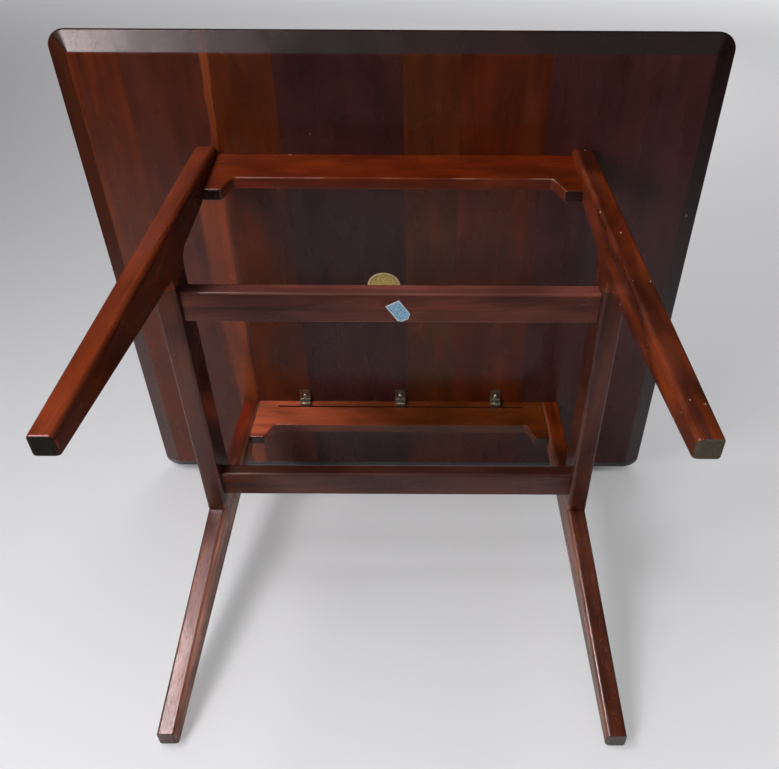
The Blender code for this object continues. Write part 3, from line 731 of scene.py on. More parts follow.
# %% Leg finishes
FOOT_LEVEL = FOOT_ROUND * 0.5
DUSTY_FOOT = (FOOT_LEVEL, (0.066, 0.056, 0.036), (0.118, 0.102, 0.068))
SOILED_FOOT = (FOOT_LEVEL, (0.010, 0.008, 0.006), (0.028, 0.022, 0.016))
BROWN_FOOT = (FOOT_LEVEL, (0.060, 0.024, 0.016), (0.115, 0.050, 0.036))
HEAD_TURNS_RED = ("Z", RAIL_TOP + 0.03, RAIL_TOP + 0.10)
LEG_VEIN = (0.026, 0.006, 0.004)
LEG_WOOD = {
    "front_left": plank_finish(
        "leg_wood_front_left",
        (0.175, 0.025, 0.005),
        LEG_VEIN,
        end=SOILED_FOOT,
        # Painted shade: the inner face, turned away from the lamps on the left, goes darker.
        face=("X", 1, LEG_VEIN, 0.55),
        nicks=0.10,
    ),
    "front_right": plank_finish(
        "leg_wood_front_right",
        (0.118, 0.022, 0.006),
        (0.030, 0.013, 0.016),
        end=DUSTY_FOOT,
        # Painted light: the inner face, turned to the lamps on the left, goes a brighter red.
        face=("X", -1, (0.150, 0.020, 0.001), 0.5),
        warm=(0.200, 0.024, 0.001),
        veins=1.0,
        mottle=0.62,
        nicks=0.80,
        nick_size=0.075,
        chip_colour=(0.58, 0.44, 0.30),
        # Rubbed edges: real wear, raised here to also lay a painted highlight along the leg's edges.
        rub=0.16,
        bare=(0.28, 0.135, 0.095),
    ),
    "back_left": plank_finish(
        "leg_wood_back_left",
        (0.086, 0.024, 0.016),
        LEG_VEIN,
        end=BROWN_FOOT,
        mottle=0.55,
        roughness=(0.18, 0.38),
        bump=1.2,
        turns_to=((0.130, 0.010, 0.001), *HEAD_TURNS_RED),
        # Painted sheen: the inner face goes pale, standing in for the floor's reflection.
        face=("X", 1, (0.620, 0.280, 0.200), 0.85),
        nicks=0.004,
    ),
    "back_right": plank_finish(
        "leg_wood_back_right",
        (0.072, 0.018, 0.009),
        LEG_VEIN,
        end=DUSTY_FOOT,
        bump=0.8,
        warm=(0.120, 0.022, 0.006),
        mottle=0.50,
        turns_to=((0.270, 0.036, 0.002), *HEAD_TURNS_RED),
        # Painted sheen: the inner face goes pale, standing in for the floor's reflection.
        face=("X", -1, (0.360, 0.150, 0.100), 0.60),
        nicks=0.004,
    ),
}
print("leg finishes", len(LEG_WOOD))

# %% [markdown]
# The rails are a quiet dark brown, and the front cross rail's front face carries a painted highlight.
# The aprons are redder. The back one carries a painted light on its left that turns to a painted
# shade on its right, and a painted shade on its bottom face. The front one's rubbed edges also carry
# a painted highlight. The bottom faces of the haunches are dark.

# %% Rail and apron finishes
# Darker bottom faces of the haunches: points below this small rise over the apron's lowest point take
# these colours.
HAUNCH_DARK_RISE = 0.0009
DARK_HAUNCH_BOTTOM = (apron_low.z + HAUNCH_DARK_RISE, (0.022, 0.008, 0.005), (0.030, 0.010, 0.006))
RAIL_VEIN = (0.020, 0.007, 0.005)
RAIL_BROWN = (0.062, 0.017, 0.010)
RAIL_WARM = (0.100, 0.022, 0.007)
RAIL_WOOD = {
    "side": plank_finish("side_rail_wood", RAIL_BROWN, RAIL_VEIN, nicks=0.0, warm=RAIL_WARM),
    "front": plank_finish(
        "cross_rail_wood_front",
        (0.092, 0.023, 0.015),
        RAIL_VEIN,
        # Painted highlight: the front face goes paler, for the light that falls on it.
        face=("Y", -1, (0.170, 0.052, 0.040), 0.80),
        nicks=0.0,
        warm=(0.150, 0.034, 0.014),
    ),
    "back": plank_finish("cross_rail_wood_back", RAIL_BROWN, RAIL_VEIN, nicks=0.0, warm=RAIL_WARM),
}
APRON_WOOD = {
    "front": plank_finish(
        "apron_wood_front",
        (0.125, 0.014, 0.001),
        (0.050, 0.007, 0.002),
        end=DARK_HAUNCH_BOTTOM,
        warm=(0.18, 0.024, 0.002),
        nicks=0.004,
        # Rubbed edges: real wear, raised here to also lay a painted highlight along the apron's edges.
        rub=0.50,
        bare=(0.34, 0.19, 0.14),
    ),
    "back": plank_finish(
        "apron_wood_back",
        # Painted light: this pale base is the lit left end, and the shade it turns to is a painted
        # shade.
        (0.560, 0.115, 0.050),
        (0.120, 0.022, 0.006),
        end=DARK_HAUNCH_BOTTOM,
        # Painted shade: from x = -0.24 to 0.04 the painted light turns to this darker shade on the
        # right.
        turns_to=((0.130, 0.026, 0.003), "X", -0.24, 0.04),
        # Painted shade on the bottom face.
        face=("Z", -1, (0.070, 0.023, 0.015), 0.85),
        patches=0.10,
        warm=(0.30, 0.050, 0.004),
        nicks=0.004,
    ),
}
print("rail and apron finishes", len(RAIL_WOOD) + len(APRON_WOOD))

# %% [markdown]
# The top is glued up from boards that run front to back. Each board has its own shade, so a colour
# ramp with hard steps picks it by the place along X, and a second ramp shifts the figure so that
# no vein runs on across a glue line. One board keeps a pale strip of sapwood that wanders along it.

# %% Boards of the top
BOARD_SHIFT_STEP = 0.37
BOARD_SHIFT_REACH = 3.7
# Left edge, place of the heart, warmth and colour of each board.
BOARDS = [
    (-0.375, -0.335, 0.75, (0.100, 0.016, 0.003)),
    (-0.300, -0.255, 0.55, (0.064, 0.012, 0.005)),
    (-0.206, -0.170, 0.60, (0.066, 0.011, 0.001)),
    (-0.133, -0.060, 0.12, (0.036, 0.010, 0.009)),
    (0.011, 0.040, 0.65, (0.060, 0.014, 0.002)),
    (0.074, 0.130, 0.75, (0.070, 0.009, 0.001)),
    (0.175, 0.225, 0.10, (0.046, 0.013, 0.011)),
    (0.262, 0.315, 0.15, (0.054, 0.016, 0.013)),
]


def board_ramp(tree, position, colours):
    """A colour ramp with one hard step at each board's left edge."""
    ramp = add_node(tree, "ShaderNodeValToRGB", {"Fac": position})
    ramp.color_ramp.interpolation = "CONSTANT"
    stops = ramp.color_ramp.elements
    for (edge, _, _, _), colour in zip(BOARDS, colours):
        share = (edge + TOP_HALF) / (2 * TOP_HALF)
        stop = stops[0] if edge <= -TOP_HALF else stops.new(share)
        stop.color = (*colour, 1)
    stops.remove(stops[-1])
    return ramp.outputs["Color"]


def board_place(tree, axes, share_x):
    """A point's place in its own board, with its figure shifted along, and the board's warmth."""
    facts = []
    for index, (_, heart, warm, _) in enumerate(BOARDS):
        facts.append((heart + TOP_HALF, index * BOARD_SHIFT_STEP % 1.0, warm))
    board = add_node(tree, "ShaderNodeSeparateColor", {0: board_ramp(tree, share_x, facts)}).outputs
    across = calculate(tree, "SUBTRACT", calculate(tree, "ADD", axes["X"], TOP_HALF), board[0])
    along = calculate(tree, "MULTIPLY_ADD", board[1], BOARD_SHIFT_REACH, axes["Y"])
    deep = calculate(tree, "SUBTRACT", axes["Z"], UNDERSIDE)
    place = add_node(tree, "ShaderNodeCombineXYZ", {0: across, 1: deep, 2: along}).outputs[0]
    return place, board[2]


print("boards", len(BOARDS))

# %% Sapwood of the top
SAP_MIDDLE = [(0.00, 0.43), (0.16, 0.43), (0.29, 0.27), (0.45, 0.23), (0.62, 0.24), (1.00, 0.26)]
SAP_WIDTH = [(0.00, 0.24), (0.16, 0.12), (0.29, 0.85), (0.45, 0.95), (0.62, 0.80), (1.00, 0.50)]
SAP_MIDDLE_RANGE = (-0.250, -0.150)
SAP_WIDTH_RANGE = (0.002, 0.020)
SAP_WOBBLE = 0.005
SAP_WOBBLE_SCALE = (30, 14, 30)
SAP_FADE = (1.1, 0.7)
SAP_SHARE = 0.92
SAP_COLOUR = (0.200, 0.036, 0.007)
SAP_COOLS = -0.85


def drawn_curve(tree, value, points):
    """A Float Curve node through a few points."""
    made = add_node(tree, "ShaderNodeFloatCurve", {"Value": value})
    line = made.mapping.curves[0]
    line.points[0].location = points[0]
    line.points[1].location = points[-1]
    for point in points[1:-1]:
        line.points.new(*point)
    made.mapping.update()
    return made.outputs["Value"]


def sap_strip(tree, where, axes):
    """1 in the strip of sapwood, by |x + wobble - middle| / half width. The middle and the half
    width follow curves along the board, and slow noise gives the wobble."""
    share_y = map_range(tree, axes["Y"], -TOP_HALF, TOP_HALF, smooth=False)
    middle = drawn_curve(tree, share_y, SAP_MIDDLE)
    middle = map_range(tree, middle, 0, 1, *SAP_MIDDLE_RANGE, smooth=False)
    width = drawn_curve(tree, share_y, SAP_WIDTH)
    width = map_range(tree, width, 0, 1, *SAP_WIDTH_RANGE, smooth=False)
    wobble = noise(tree, where, SAP_WOBBLE_SCALE, 3.0)
    wobble = map_range(tree, wobble, 0.0, 1.0, -SAP_WOBBLE, SAP_WOBBLE, smooth=False)
    off = calculate(tree, "SUBTRACT", calculate(tree, "ADD", axes["X"], wobble), middle)
    share = calculate(tree, "DIVIDE", calculate(tree, "ABSOLUTE", off), width)
    return map_range(tree, share, *SAP_FADE)


print("sapwood curves", len(SAP_MIDDLE), "points each")

# %% Rim of the top
RIM_FADE = 0.002
RIM_END_GRAIN = 0.88
RIM_LONG_GRAIN = 0.60
RIM_COLOUR = (0.0085, 0.0045, 0.0035)


def rim_mask(tree, axes):
    """Below the upper face, the bevels that cut across the boards show end grain, which soaks up
    oil and goes dark. The bevels along the boards darken less."""
    inside = TOP_HALF - BEVEL_REACH
    off_x = calculate(tree, "ABSOLUTE", axes["X"])
    off_y = calculate(tree, "ABSOLUTE", axes["Y"])
    below = calculate(tree, "LESS_THAN", axes["Z"], top_high.z - RIM_EDGE_RADIUS)
    end_side = calculate(tree, "GREATER_THAN", off_y, off_x)
    past_y = map_range(tree, off_y, inside, inside + RIM_FADE)
    end_grain = calculate(tree, "MULTIPLY", past_y, end_side)
    long_side = calculate(tree, "SUBTRACT", 1.0, end_side)
    past_x = map_range(tree, off_x, inside, inside + RIM_FADE)
    long_grain = calculate(tree, "MULTIPLY", past_x, long_side)
    dark = calculate(tree, "MULTIPLY", long_grain, RIM_LONG_GRAIN)
    dark = calculate(tree, "MULTIPLY_ADD", end_grain, RIM_END_GRAIN, dark)
    return calculate(tree, "MULTIPLY", dark, below)


print("rim darkens by", RIM_END_GRAIN, "across the boards and", RIM_LONG_GRAIN, "along them")

# %% Finish of the top
TOP_VEIN = (0.022, 0.007, 0.006)
TOP_CHANGES = {
    "warm": (0.110, 0.017, 0.001),
    "veins": 0.50,
    "rings": 0.10,
    "mottle": 0.22,
    "nicks": 0.004,
    "roughness": (0.22, 0.32),
}


def top_finish():
    """Rosewood boards side by side, on Object coordinates. Warm patches stay off the sapwood."""
    made, tree, shader = start_material("top_wood", OIL_ROUGHNESS, gloss=OIL_GLOSS, tint=OIL_TINT)
    where = add_node(tree, "ShaderNodeTexCoord").outputs["Object"]
    axes = add_node(tree, "ShaderNodeSeparateXYZ", {0: where}).outputs
    share_x = map_range(tree, axes["X"], -TOP_HALF, TOP_HALF, smooth=False)
    wood = board_ramp(tree, share_x, [board[3] for board in BOARDS])
    place, warmth = board_place(tree, axes, share_x)
    strip = sap_strip(tree, where, axes)
    wood = mix_colour(tree, calculate(tree, "MULTIPLY", strip, SAP_SHARE), wood, SAP_COLOUR)
    plain = calculate(tree, "MULTIPLY_ADD", strip, SAP_COOLS, 1.0)
    patches = calculate(tree, "MULTIPLY", warmth, plain)
    settings = {**WOOD_SETTINGS, **TOP_CHANGES, "patches": patches}
    cover = (rim_mask(tree, axes), RIM_COLOUR)
    finish_wood(tree, shader, place, 0.0, wood, TOP_VEIN, settings, cover)
    return made


TOP_WOOD = top_finish()
print("top finish", len(TOP_WOOD.node_tree.nodes), "nodes")

# %% [markdown]
# ## The tabletop
#
# The panel is thick in the middle and thin at its rim: a flat bevel runs up all round its
# underside. It's a stack of rounded squares, one for each point of the rim's profile, so the
# corner is a soft mitre that grows from nearly sharp at the flat field to a full radius at the rim.

# %% Tabletop
BEVEL_STEPS = 5
RIM_STEPS = 6


def square_rings(half_sides, radii, heights, steps=14):
    """Rounded squares stacked up: each quarter is a centre at (half - r) plus r (cos a, sin a)."""
    quarter = np.arange(4)[:, None] * math.pi / 2
    angle = (quarter + np.linspace(0, math.pi / 2, steps + 1)[None]).ravel()
    corner = (quarter + math.pi / 4 + np.zeros(steps + 1)[None]).ravel()
    reach = (half_sides - radii)[:, None] * math.sqrt(2)
    x = reach * np.cos(corner) + radii[:, None] * np.cos(angle)
    y = reach * np.sin(corner) + radii[:, None] * np.sin(angle)
    z = np.broadcast_to(heights[:, None], x.shape)
    return np.stack([x, y, z], axis=2)


def rim_profile():
    """Inset and height of the rim, from the flat field over the bevel and the band to the top."""
    field = (BEVEL_REACH, 0)
    lower = (0, TOP_THICKNESS - RIM_HEIGHT)
    upper = (0, TOP_THICKNESS)
    runs = [
        rounded_corner((TOP_HALF, 0), field, lower, BEVEL_EDGE_RADIUS, BEVEL_STEPS),
        rounded_corner(field, lower, upper, RIM_EDGE_RADIUS, RIM_STEPS),
        rounded_corner(lower, upper, (TOP_HALF, TOP_THICKNESS), RIM_EDGE_RADIUS, RIM_STEPS),
    ]
    return np.concatenate(runs)


def add_top():
    """The top: rings from the flat field to the upper face. Its corner's radius grows with the
    way out along the bevel, from the field's to the rim's."""
    inset, height = rim_profile().T
    share = np.minimum(inset / BEVEL_REACH, 1)
    radii = RIM_CORNER_RADIUS + (FIELD_CORNER_RADIUS - RIM_CORNER_RADIUS) * share
    rings = square_rings(TOP_HALF - inset, radii, UNDERSIDE + height)
    faces = band_faces(*rings.shape[:2])
    return add_piece("tabletop", rings, faces, TOP_WOOD)


add_top()

# %% [markdown]
# ## The side frames
#
# A leg's outline is drawn from the side: the outer edge is straight, the inner edge swells into a
# crook that carries the rail and drops back in a knee below it. The same band function rounds the
# edges, more on the inside of the face than on the outside. The whole frame then leans outward, by
# a shift along X that grows with the depth below the top, so heads and feet stay level.


# %% Leg outline
CROOK_STEPS = 14
FOOT_STEPS = 4


def lean(height):
    """Shift outward along X at a height: the whole lean times the share of the way down."""
    return LEG_LEAN * (UNDERSIDE - height) / UNDERSIDE


def leg_face(height):
    """Y of a leg's outer edge at a height."""
    return LEG_HEAD_Y + LEG_SPLAY * (UNDERSIDE - height) / UNDERSIDE


def leg_outline():
    """Outline (Y, Z) of a back leg, and the rounding of each side on its inner and outer face."""
    head = UNDERSIDE - FIT
    outer_head = (LEG_HEAD_Y, head)
    inner_head = (LEG_HEAD_Y - LEG_HEAD_WIDTH, head)
    outer_foot = (leg_face(0), 0)
    inner_foot = (leg_face(0) - LEG_FOOT_WIDTH, 0)
    knee = (leg_face(RAIL_BOTTOM) - LEG_KNEE_WIDTH, RAIL_BOTTOM)
    stub_bottom = (STUB_END_Y, RAIL_BOTTOM)
    stub_top = (STUB_END_Y, RAIL_TOP)
    crook = (leg_face(RAIL_TOP) - LEG_CROOK_WIDTH, RAIL_TOP)
    face = (LEG_FACE_ROUND, LEG_OUTER_ROUND)
    inside = (LEG_INNER_ROUND, LEG_OUTER_ROUND)
    foot = (FOOT_ROUND, FOOT_ROUND)
    butt = (0, 0)
    runs = [
        ([outer_head], [face]),
        carried_corner(outer_head, outer_foot, inner_foot, FOOT_CORNER, FOOT_STEPS, (face, foot)),
        carried_corner(outer_foot, inner_foot, knee, FOOT_CORNER, FOOT_STEPS, (foot, inside)),
        ([knee, stub_bottom, stub_top], [inside, butt, inside]),
        (
            rounded_corner(stub_top, crook, inner_head, CROOK_RADIUS, CROOK_STEPS),
            [inside] * (CROOK_STEPS + 1),
        ),
        ([inner_head], [butt]),
    ]
    outline = np.array([point for points, _ in runs for point in points], float)
    radii = np.array([pair for _, pairs in runs for pair in pairs], float)
    return outline, radii


print("leg outline", len(leg_outline()[0]), "points")

# %% Legs
GRAIN_SHIFT = np.array((0.004, 0.003, 1.0))
LEG_EDGE_STEPS = 8


def add_leg(side_name, end_name, seed):
    """A leg: the back right one's band, mirrored to its corner and leaned out."""
    side, end = SIDES[side_name], ENDS[end_name]
    outline, radii = leg_outline()
    grid, edge = board(outline, LEG_THICKNESS / 2, radii[:, 0], radii[:, 1], LEG_EDGE_STEPS)
    across, up, through = np.moveaxis(grid, 2, 0)
    middle = LEG_HEAD_X - LEG_THICKNESS / 2
    points = np.stack([side * (middle + through + lean(up)), end * across, up], axis=2)
    core = leg_face(up) - (LEG_HEAD_WIDTH + LEG_FOOT_WIDTH) / 4
    wood = np.stack([across - core, through, up], axis=2) + seed * GRAIN_SHIFT
    name = f"leg_{end_name}_{side_name}"
    finish = LEG_WOOD[f"{end_name}_{side_name}"]
    faces = band_faces(*grid.shape[:2])
    return add_piece(name, points, faces, finish, wood, edge)


LEG_SEEDS = {
    ("left", "front"): 0.31,
    ("right", "front"): 1.12,
    ("left", "back"): 2.07,
    ("right", "back"): 3.4,
}
for (side_name, end_name), seed in LEG_SEEDS.items():
    add_leg(side_name, end_name, seed)

# %% [markdown]
# The side rails fill the gap between the stubs of two legs, with the same section and lean. The
# cross rails are flat bars set between the side rails. Both are boards again: a rectangle's band.


# %% Rails
def add_side_rail(side_name, seed):
    """A side rail: a plain rectangle seen from the side, rounded and leaned like the legs' stubs."""
    side = SIDES[side_name]
    shoulder = STUB_END_Y - FIT
    outline = np.array(
        [(-shoulder, RAIL_BOTTOM), (shoulder, RAIL_BOTTOM), (shoulder, RAIL_TOP), (-shoulder, RAIL_TOP)]
    )
    near = (LEG_INNER_ROUND, 0, LEG_INNER_ROUND, 0)
    far = (LEG_OUTER_ROUND, 0, LEG_OUTER_ROUND, 0)
    grid, edge = board(outline, LEG_THICKNESS / 2, near, far)
    across, up, through = np.moveaxis(grid, 2, 0)
    middle = LEG_HEAD_X - LEG_THICKNESS / 2
    points = np.stack([side * (middle + through + lean(up)), across, up], axis=2)
    wood = np.stack([up - (RAIL_TOP + RAIL_BOTTOM) / 2, through, across], axis=2) + seed * GRAIN_SHIFT
    faces = band_faces(*grid.shape[:2])
    finish = RAIL_WOOD["side"]
    return add_piece(f"side_rail_{side_name}", points, faces, finish, wood, edge)


def add_cross_rail(end_name, seed):
    """A cross rail: a long flat bar whose ends lean to meet the side rails."""
    low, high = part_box(f"cross_rail_{end_name}")
    shoulder = LEG_INNER_X - FIT
    outline = np.array([(-shoulder, low.z), (shoulder, low.z), (shoulder, high.z), (-shoulder, high.z)])
    radii = (CROSS_RAIL_ROUND, 0, CROSS_RAIL_ROUND, 0)
    grid, edge = board(outline, (high.y - low.y) / 2, radii, radii)
    across, up, through = np.moveaxis(grid, 2, 0)
    points = np.stack([across + np.sign(across) * lean(up), through + (low.y + high.y) / 2, up], axis=2)
    wood = np.stack([through, up - (low.z + high.z) / 2, across], axis=2) + seed * GRAIN_SHIFT
    faces = band_faces(*grid.shape[:2])
    finish = RAIL_WOOD[end_name]
    return add_piece(f"cross_rail_{end_name}", points, faces, finish, wood, edge)


for side_name, seed in (("left", 4.3), ("right", 5.9)):
    add_side_rail(side_name, seed)
for end_name, seed in (("front", 6.6), ("back", 7.8)):
    add_cross_rail(end_name, seed)

# %% [markdown]
# ## The aprons
#
# An apron is deep where it meets the legs and cut away between them. On its inner face a stopped
# saw kerf takes the tongues of the clips. A face with a hole in it can't be one polygon, so that
# face is drawn as four: a strip above the kerf, a strip below it and the two ends.

# %% Apron outline
KERF_SETBACK = 0.0095
KERF_HEIGHT = 0.0030
KERF_STOP = 0.0283
KERF_DEPTH = 0.007
KERF_TOP = UNDERSIDE - KERF_SETBACK
KERF_BOTTOM = KERF_TOP - KERF_HEIGHT
KERF_HALF = LEG_INNER_X - KERF_STOP
HAUNCH_STEPS = 6


def apron_outline():
    """Outline (X, Z) of an apron and its rounding: the top and the shoulders stay square."""
    head = UNDERSIDE - FIT
    low = apron_low.z
    shoulder = LEG_INNER_X - FIT
    haunch_x = LEG_INNER_X - HAUNCH_LENGTH
    corner = (shoulder, low)
    haunch = (haunch_x, low)
    rise = (haunch_x - HAUNCH_SLOPE_RUN, UNDERSIDE - APRON_HEIGHT)
    flat = (KERF_HALF, UNDERSIDE - APRON_HEIGHT)
    right = [(KERF_HALF, head), (shoulder, head), corner]
    right += rounded_corner(corner, haunch, rise, HAUNCH_ROUND, HAUNCH_STEPS).tolist()
    right += rounded_corner(haunch, rise, (0, rise[1]), HAUNCH_ROUND, HAUNCH_STEPS).tolist()
    right.append(flat)
    left = [(-x, z) for x, z in reversed(right)]
    radii = np.full(len(right) * 2, APRON_EDGE_ROUND)
    radii[[0, 1]] = 0
    radii[[-1, -2, -3]] = 0
    return np.array(right + left), radii


print("apron outline", len(apron_outline()[0]), "points")


# %% Aprons
def apron_faces(rows, columns):
    """The band, the plain outer face, and the inner face and the kerf's walls round eight points:
    the kerf's four mouth corners, then its four bottom corners."""
    half = columns // 2
    faces = grid_quads(rows, columns)
    faces.append(list(range((rows - 1) * columns, rows * columns)))
    first = rows * columns
    left_low, right_low, right_high, left_high = range(first, first + 4)
    top_right, flat_right = 0, half - 1
    flat_left, top_left = half, columns - 1
    faces.append([top_right, right_high, left_high, top_left])
    faces.append([flat_right, flat_left, left_low, right_low])
    faces.append(list(range(half)) + [right_low, right_high])
    faces.append(list(range(half, columns)) + [left_high, left_low])
    for index in range(4):
        ahead = (index + 1) % 4
        faces.append([first + index, first + ahead, first + 4 + ahead, first + 4 + index])
    faces.append([first + 4, first + 5, first + 6, first + 7])
    return faces


def add_apron(end_name, seed):
    """An apron between two legs, its shoulders leaning with them."""
    end = ENDS[end_name]
    outline, radii = apron_outline()
    half = (apron_high.y - apron_low.y) / 2
    grid, edge = board(outline, half, radii, radii)
    low_mouth = [(-KERF_HALF, KERF_BOTTOM), (KERF_HALF, KERF_BOTTOM)]
    high_mouth = [(KERF_HALF, KERF_TOP), (-KERF_HALF, KERF_TOP)]
    depths = (-half, KERF_DEPTH - half)
    kerf = np.array([(x, z, deep) for deep in depths for x, z in low_mouth + high_mouth])
    rows, columns = grid.shape[:2]
    grid = np.concatenate([grid.reshape(-1, 3), kerf])
    edge = np.concatenate([edge.ravel(), np.zeros(len(kerf))])
    across, up, through = grid.T
    shoulder = np.abs(across) > LEG_INNER_X - HAUNCH_LENGTH / 2
    x = across + np.where(shoulder, np.sign(across) * lean(up), 0)
    points = np.stack([x, end * ((apron_low.y + apron_high.y) / 2 + through), up], axis=1)
    wood = np.stack([up - UNDERSIDE, through, across], axis=1) + seed * GRAIN_SHIFT
    faces = apron_faces(rows, columns)
    finish = APRON_WOOD[end_name]
    return add_piece(f"apron_{end_name}", points, faces, finish, wood, edge)


for end_name, seed in (("front", 8.7), ("back", 9.9)):
    add_apron(end_name, seed)

# %% [markdown]
# ## Metal
#
# Steel and gilt differ in colour, but age alike: broad dull patches, small dark specks and a fine
# unevenness. A node group makes these once, and each metal places it with its own two colours. A
# metal isn't mixed with black here, as dirt would be, but with a duller shade of itself.

# %% Tarnish
TARNISH_PATCH_SCALE = (260, 260, 260)
TARNISH_PATCH_LIMITS = (0.36, 0.64)
TARNISH_SPECK_SCALE = (1300, 1300, 1300)
TARNISH_SPECK_LIMITS = (0.60, 0.70)
TARNISH_GRAIN_SCALE = (2200, 2200, 2200)


def make_tarnish_group():
    """Tarnish: slow noise past a threshold gives patches, fine noise past a high one specks."""
    tree, given, out = new_group(
        "tarnish",
        [
            ("Place", VECTOR, None),
            ("Metal", COLOUR, (0.5, 0.5, 0.5, 1)),
            ("Tarnish", COLOUR, (0.1, 0.1, 0.1, 1)),
            ("Amount", VALUE, 0.7),
        ],
        [("Color", COLOUR), ("Dull", VALUE), ("Height", VALUE)],
    )
    place = given.outputs["Place"]
    patches = noise(tree, place, TARNISH_PATCH_SCALE, 3.0, 0.6)
    patches = map_range(tree, patches, *TARNISH_PATCH_LIMITS)
    specks = noise(tree, place, TARNISH_SPECK_SCALE, 1.0)
    specks = map_range(tree, specks, *TARNISH_SPECK_LIMITS)
    dull = calculate(tree, "MAXIMUM", patches, specks)
    dull = calculate(tree, "MULTIPLY", dull, given.outputs["Amount"])
    colour = mix_colour(tree, dull, given.outputs["Metal"], given.outputs["Tarnish"])
    tree.links.new(colour, out.inputs["Color"])
    tree.links.new(dull, out.inputs["Dull"])
    tree.links.new(noise(tree, place, TARNISH_GRAIN_SCALE, 2.0), out.inputs["Height"])
    return tree


TARNISH = make_tarnish_group()
print("groups", [group.name for group in bpy.data.node_groups])

# %% Metal on the shader
BRIGHT_EDGE_FROM = 0.5
BRIGHT_EDGE_SHARE = 0.6
METAL_BUMP = 0.3
METAL_BUMP_DEPTH = 0.0001


def ring_mask(tree, place, radius, inner, outer):
    """1 on a circle round the piece's own axis, fading to 0 over a distance inside and outside."""
    flat = vector_math(tree, "MULTIPLY", place, (1, 1, 0))
    distance = add_node(tree, "ShaderNodeVectorMath", {0: flat}, operation="LENGTH").outputs["Value"]
    rising = map_range(tree, distance, radius - inner, radius)
    return calculate(tree, "SUBTRACT", rising, map_range(tree, distance, radius, radius + outer))


def metal_finish(name, metal, tarnish, amount, roughness, rings=(), metallic=1.0):
    """A tarnished metal. Each ring is a colour, a radius, its fades inside and outside, a strength."""
    made, tree, shader = start_material(name, roughness[0], metallic=metallic)
    place = add_node(tree, "ShaderNodeAttribute", attribute_name="place").outputs["Vector"]
    edge = add_node(tree, "ShaderNodeAttribute", attribute_name="edge").outputs["Fac"]
    values = {"Place": place, "Metal": metal, "Tarnish": tarnish, "Amount": amount}
    aged = add_group(tree, TARNISH, values)
    bright = calculate(tree, "MULTIPLY", map_range(tree, edge, BRIGHT_EDGE_FROM, 1.0), BRIGHT_EDGE_SHARE)
    colour = mix_colour(tree, bright, aged.outputs["Color"], metal)
    for ring_colour, radius, inner, outer, strength in rings:
        mask = calculate(tree, "MULTIPLY", ring_mask(tree, place, radius, inner, outer), strength)
        colour = mix_colour(tree, mask, colour, ring_colour)
    tree.links.new(colour, shader.inputs["Base Color"])
    dulled = map_range(tree, aged.outputs["Dull"], 0.0, 1.0, *roughness)
    tree.links.new(dulled, shader.inputs["Roughness"])
    values = {"Height": aged.outputs["Height"], "Strength": METAL_BUMP, "Distance": METAL_BUMP_DEPTH}
    bump = add_node(tree, "ShaderNodeBump", values)
    tree.links.new(bump.outputs["Normal"], shader.inputs["Normal"])
    return made


print("depth of the metal's bump", METAL_BUMP_DEPTH)

# %% [markdown]
# ## The clips
#
# Solid wood moves across its grain, so the top isn't glued to the aprons. Clips hold it: each is a
# steel strip bent in a Z, screwed flat to the top, whose tongue slides in the apron's saw kerf. The
# strip is its middle line with a thin rounded section carried along it. Where the path comes near
# an end, the section gets narrower, which rounds the plate's corners.

# %% Clip sizes and finish
CLIP_WIDTH = 0.0145
CLIP_STRIP = 0.0016
CLIP_BEND_RADIUS = 0.002
CLIP_CORNER = 0.0018
CLIP_SECTION_ROUND = 0.00035
CLIP_PLATE_SETBACK = 0.025
CLIP_STEP_SETBACK = 0.0061
CLIP_SCREW_SETBACK = 0.0141
CLIP_FROM_LEG = 0.0683
CLIP_SPACING = LEG_INNER_X - CLIP_FROM_LEG
TONGUE_REACH = 0.006
SCREW_RADIUS = 0.0040
CLIP_PLACES = {"left": -1, "middle": 0, "right": 1}
GRIME_RING = ((0.016, 0.012, 0.009), SCREW_RADIUS + 0.0004, 0.001, 0.0016, 0.9)
CLIP_STEEL = metal_finish(
    "clip_steel",
    (0.36, 0.32, 0.235),
    (0.095, 0.078, 0.052),
    0.85,
    (0.34, 0.60),
    rings=[GRIME_RING],
)
print("clip strip", CLIP_WIDTH, "by", CLIP_STRIP)

# %% Strip of a clip
PLATE_STEPS = 48
BEND_STEPS = 8
TONGUE_STEPS = 24
SECTION_STEPS = 4


def clip_path():
    """Middle line (along, up) of the strip, from the apron's inner face and the underside."""
    plate_up = -FIT - CLIP_STRIP / 2
    tongue_up = KERF_TOP - UNDERSIDE - FIT - CLIP_STRIP / 2
    plate_end = (-CLIP_PLATE_SETBACK, plate_up)
    top_bend = (-CLIP_STEP_SETBACK, plate_up)
    bottom_bend = (-CLIP_STEP_SETBACK, tongue_up)
    tongue_end = (TONGUE_REACH, tongue_up)
    bends = [
        rounded_corner(plate_end, top_bend, bottom_bend, CLIP_BEND_RADIUS, BEND_STEPS),
        rounded_corner(top_bend, bottom_bend, tongue_end, CLIP_BEND_RADIUS, BEND_STEPS),
    ]
    plate = np.linspace(plate_end, bends[0][0], PLATE_STEPS, endpoint=False)
    tongue = np.linspace(bends[1][-1], tongue_end, TONGUE_STEPS)[1:]
    return np.concatenate([plate, *bends, tongue])


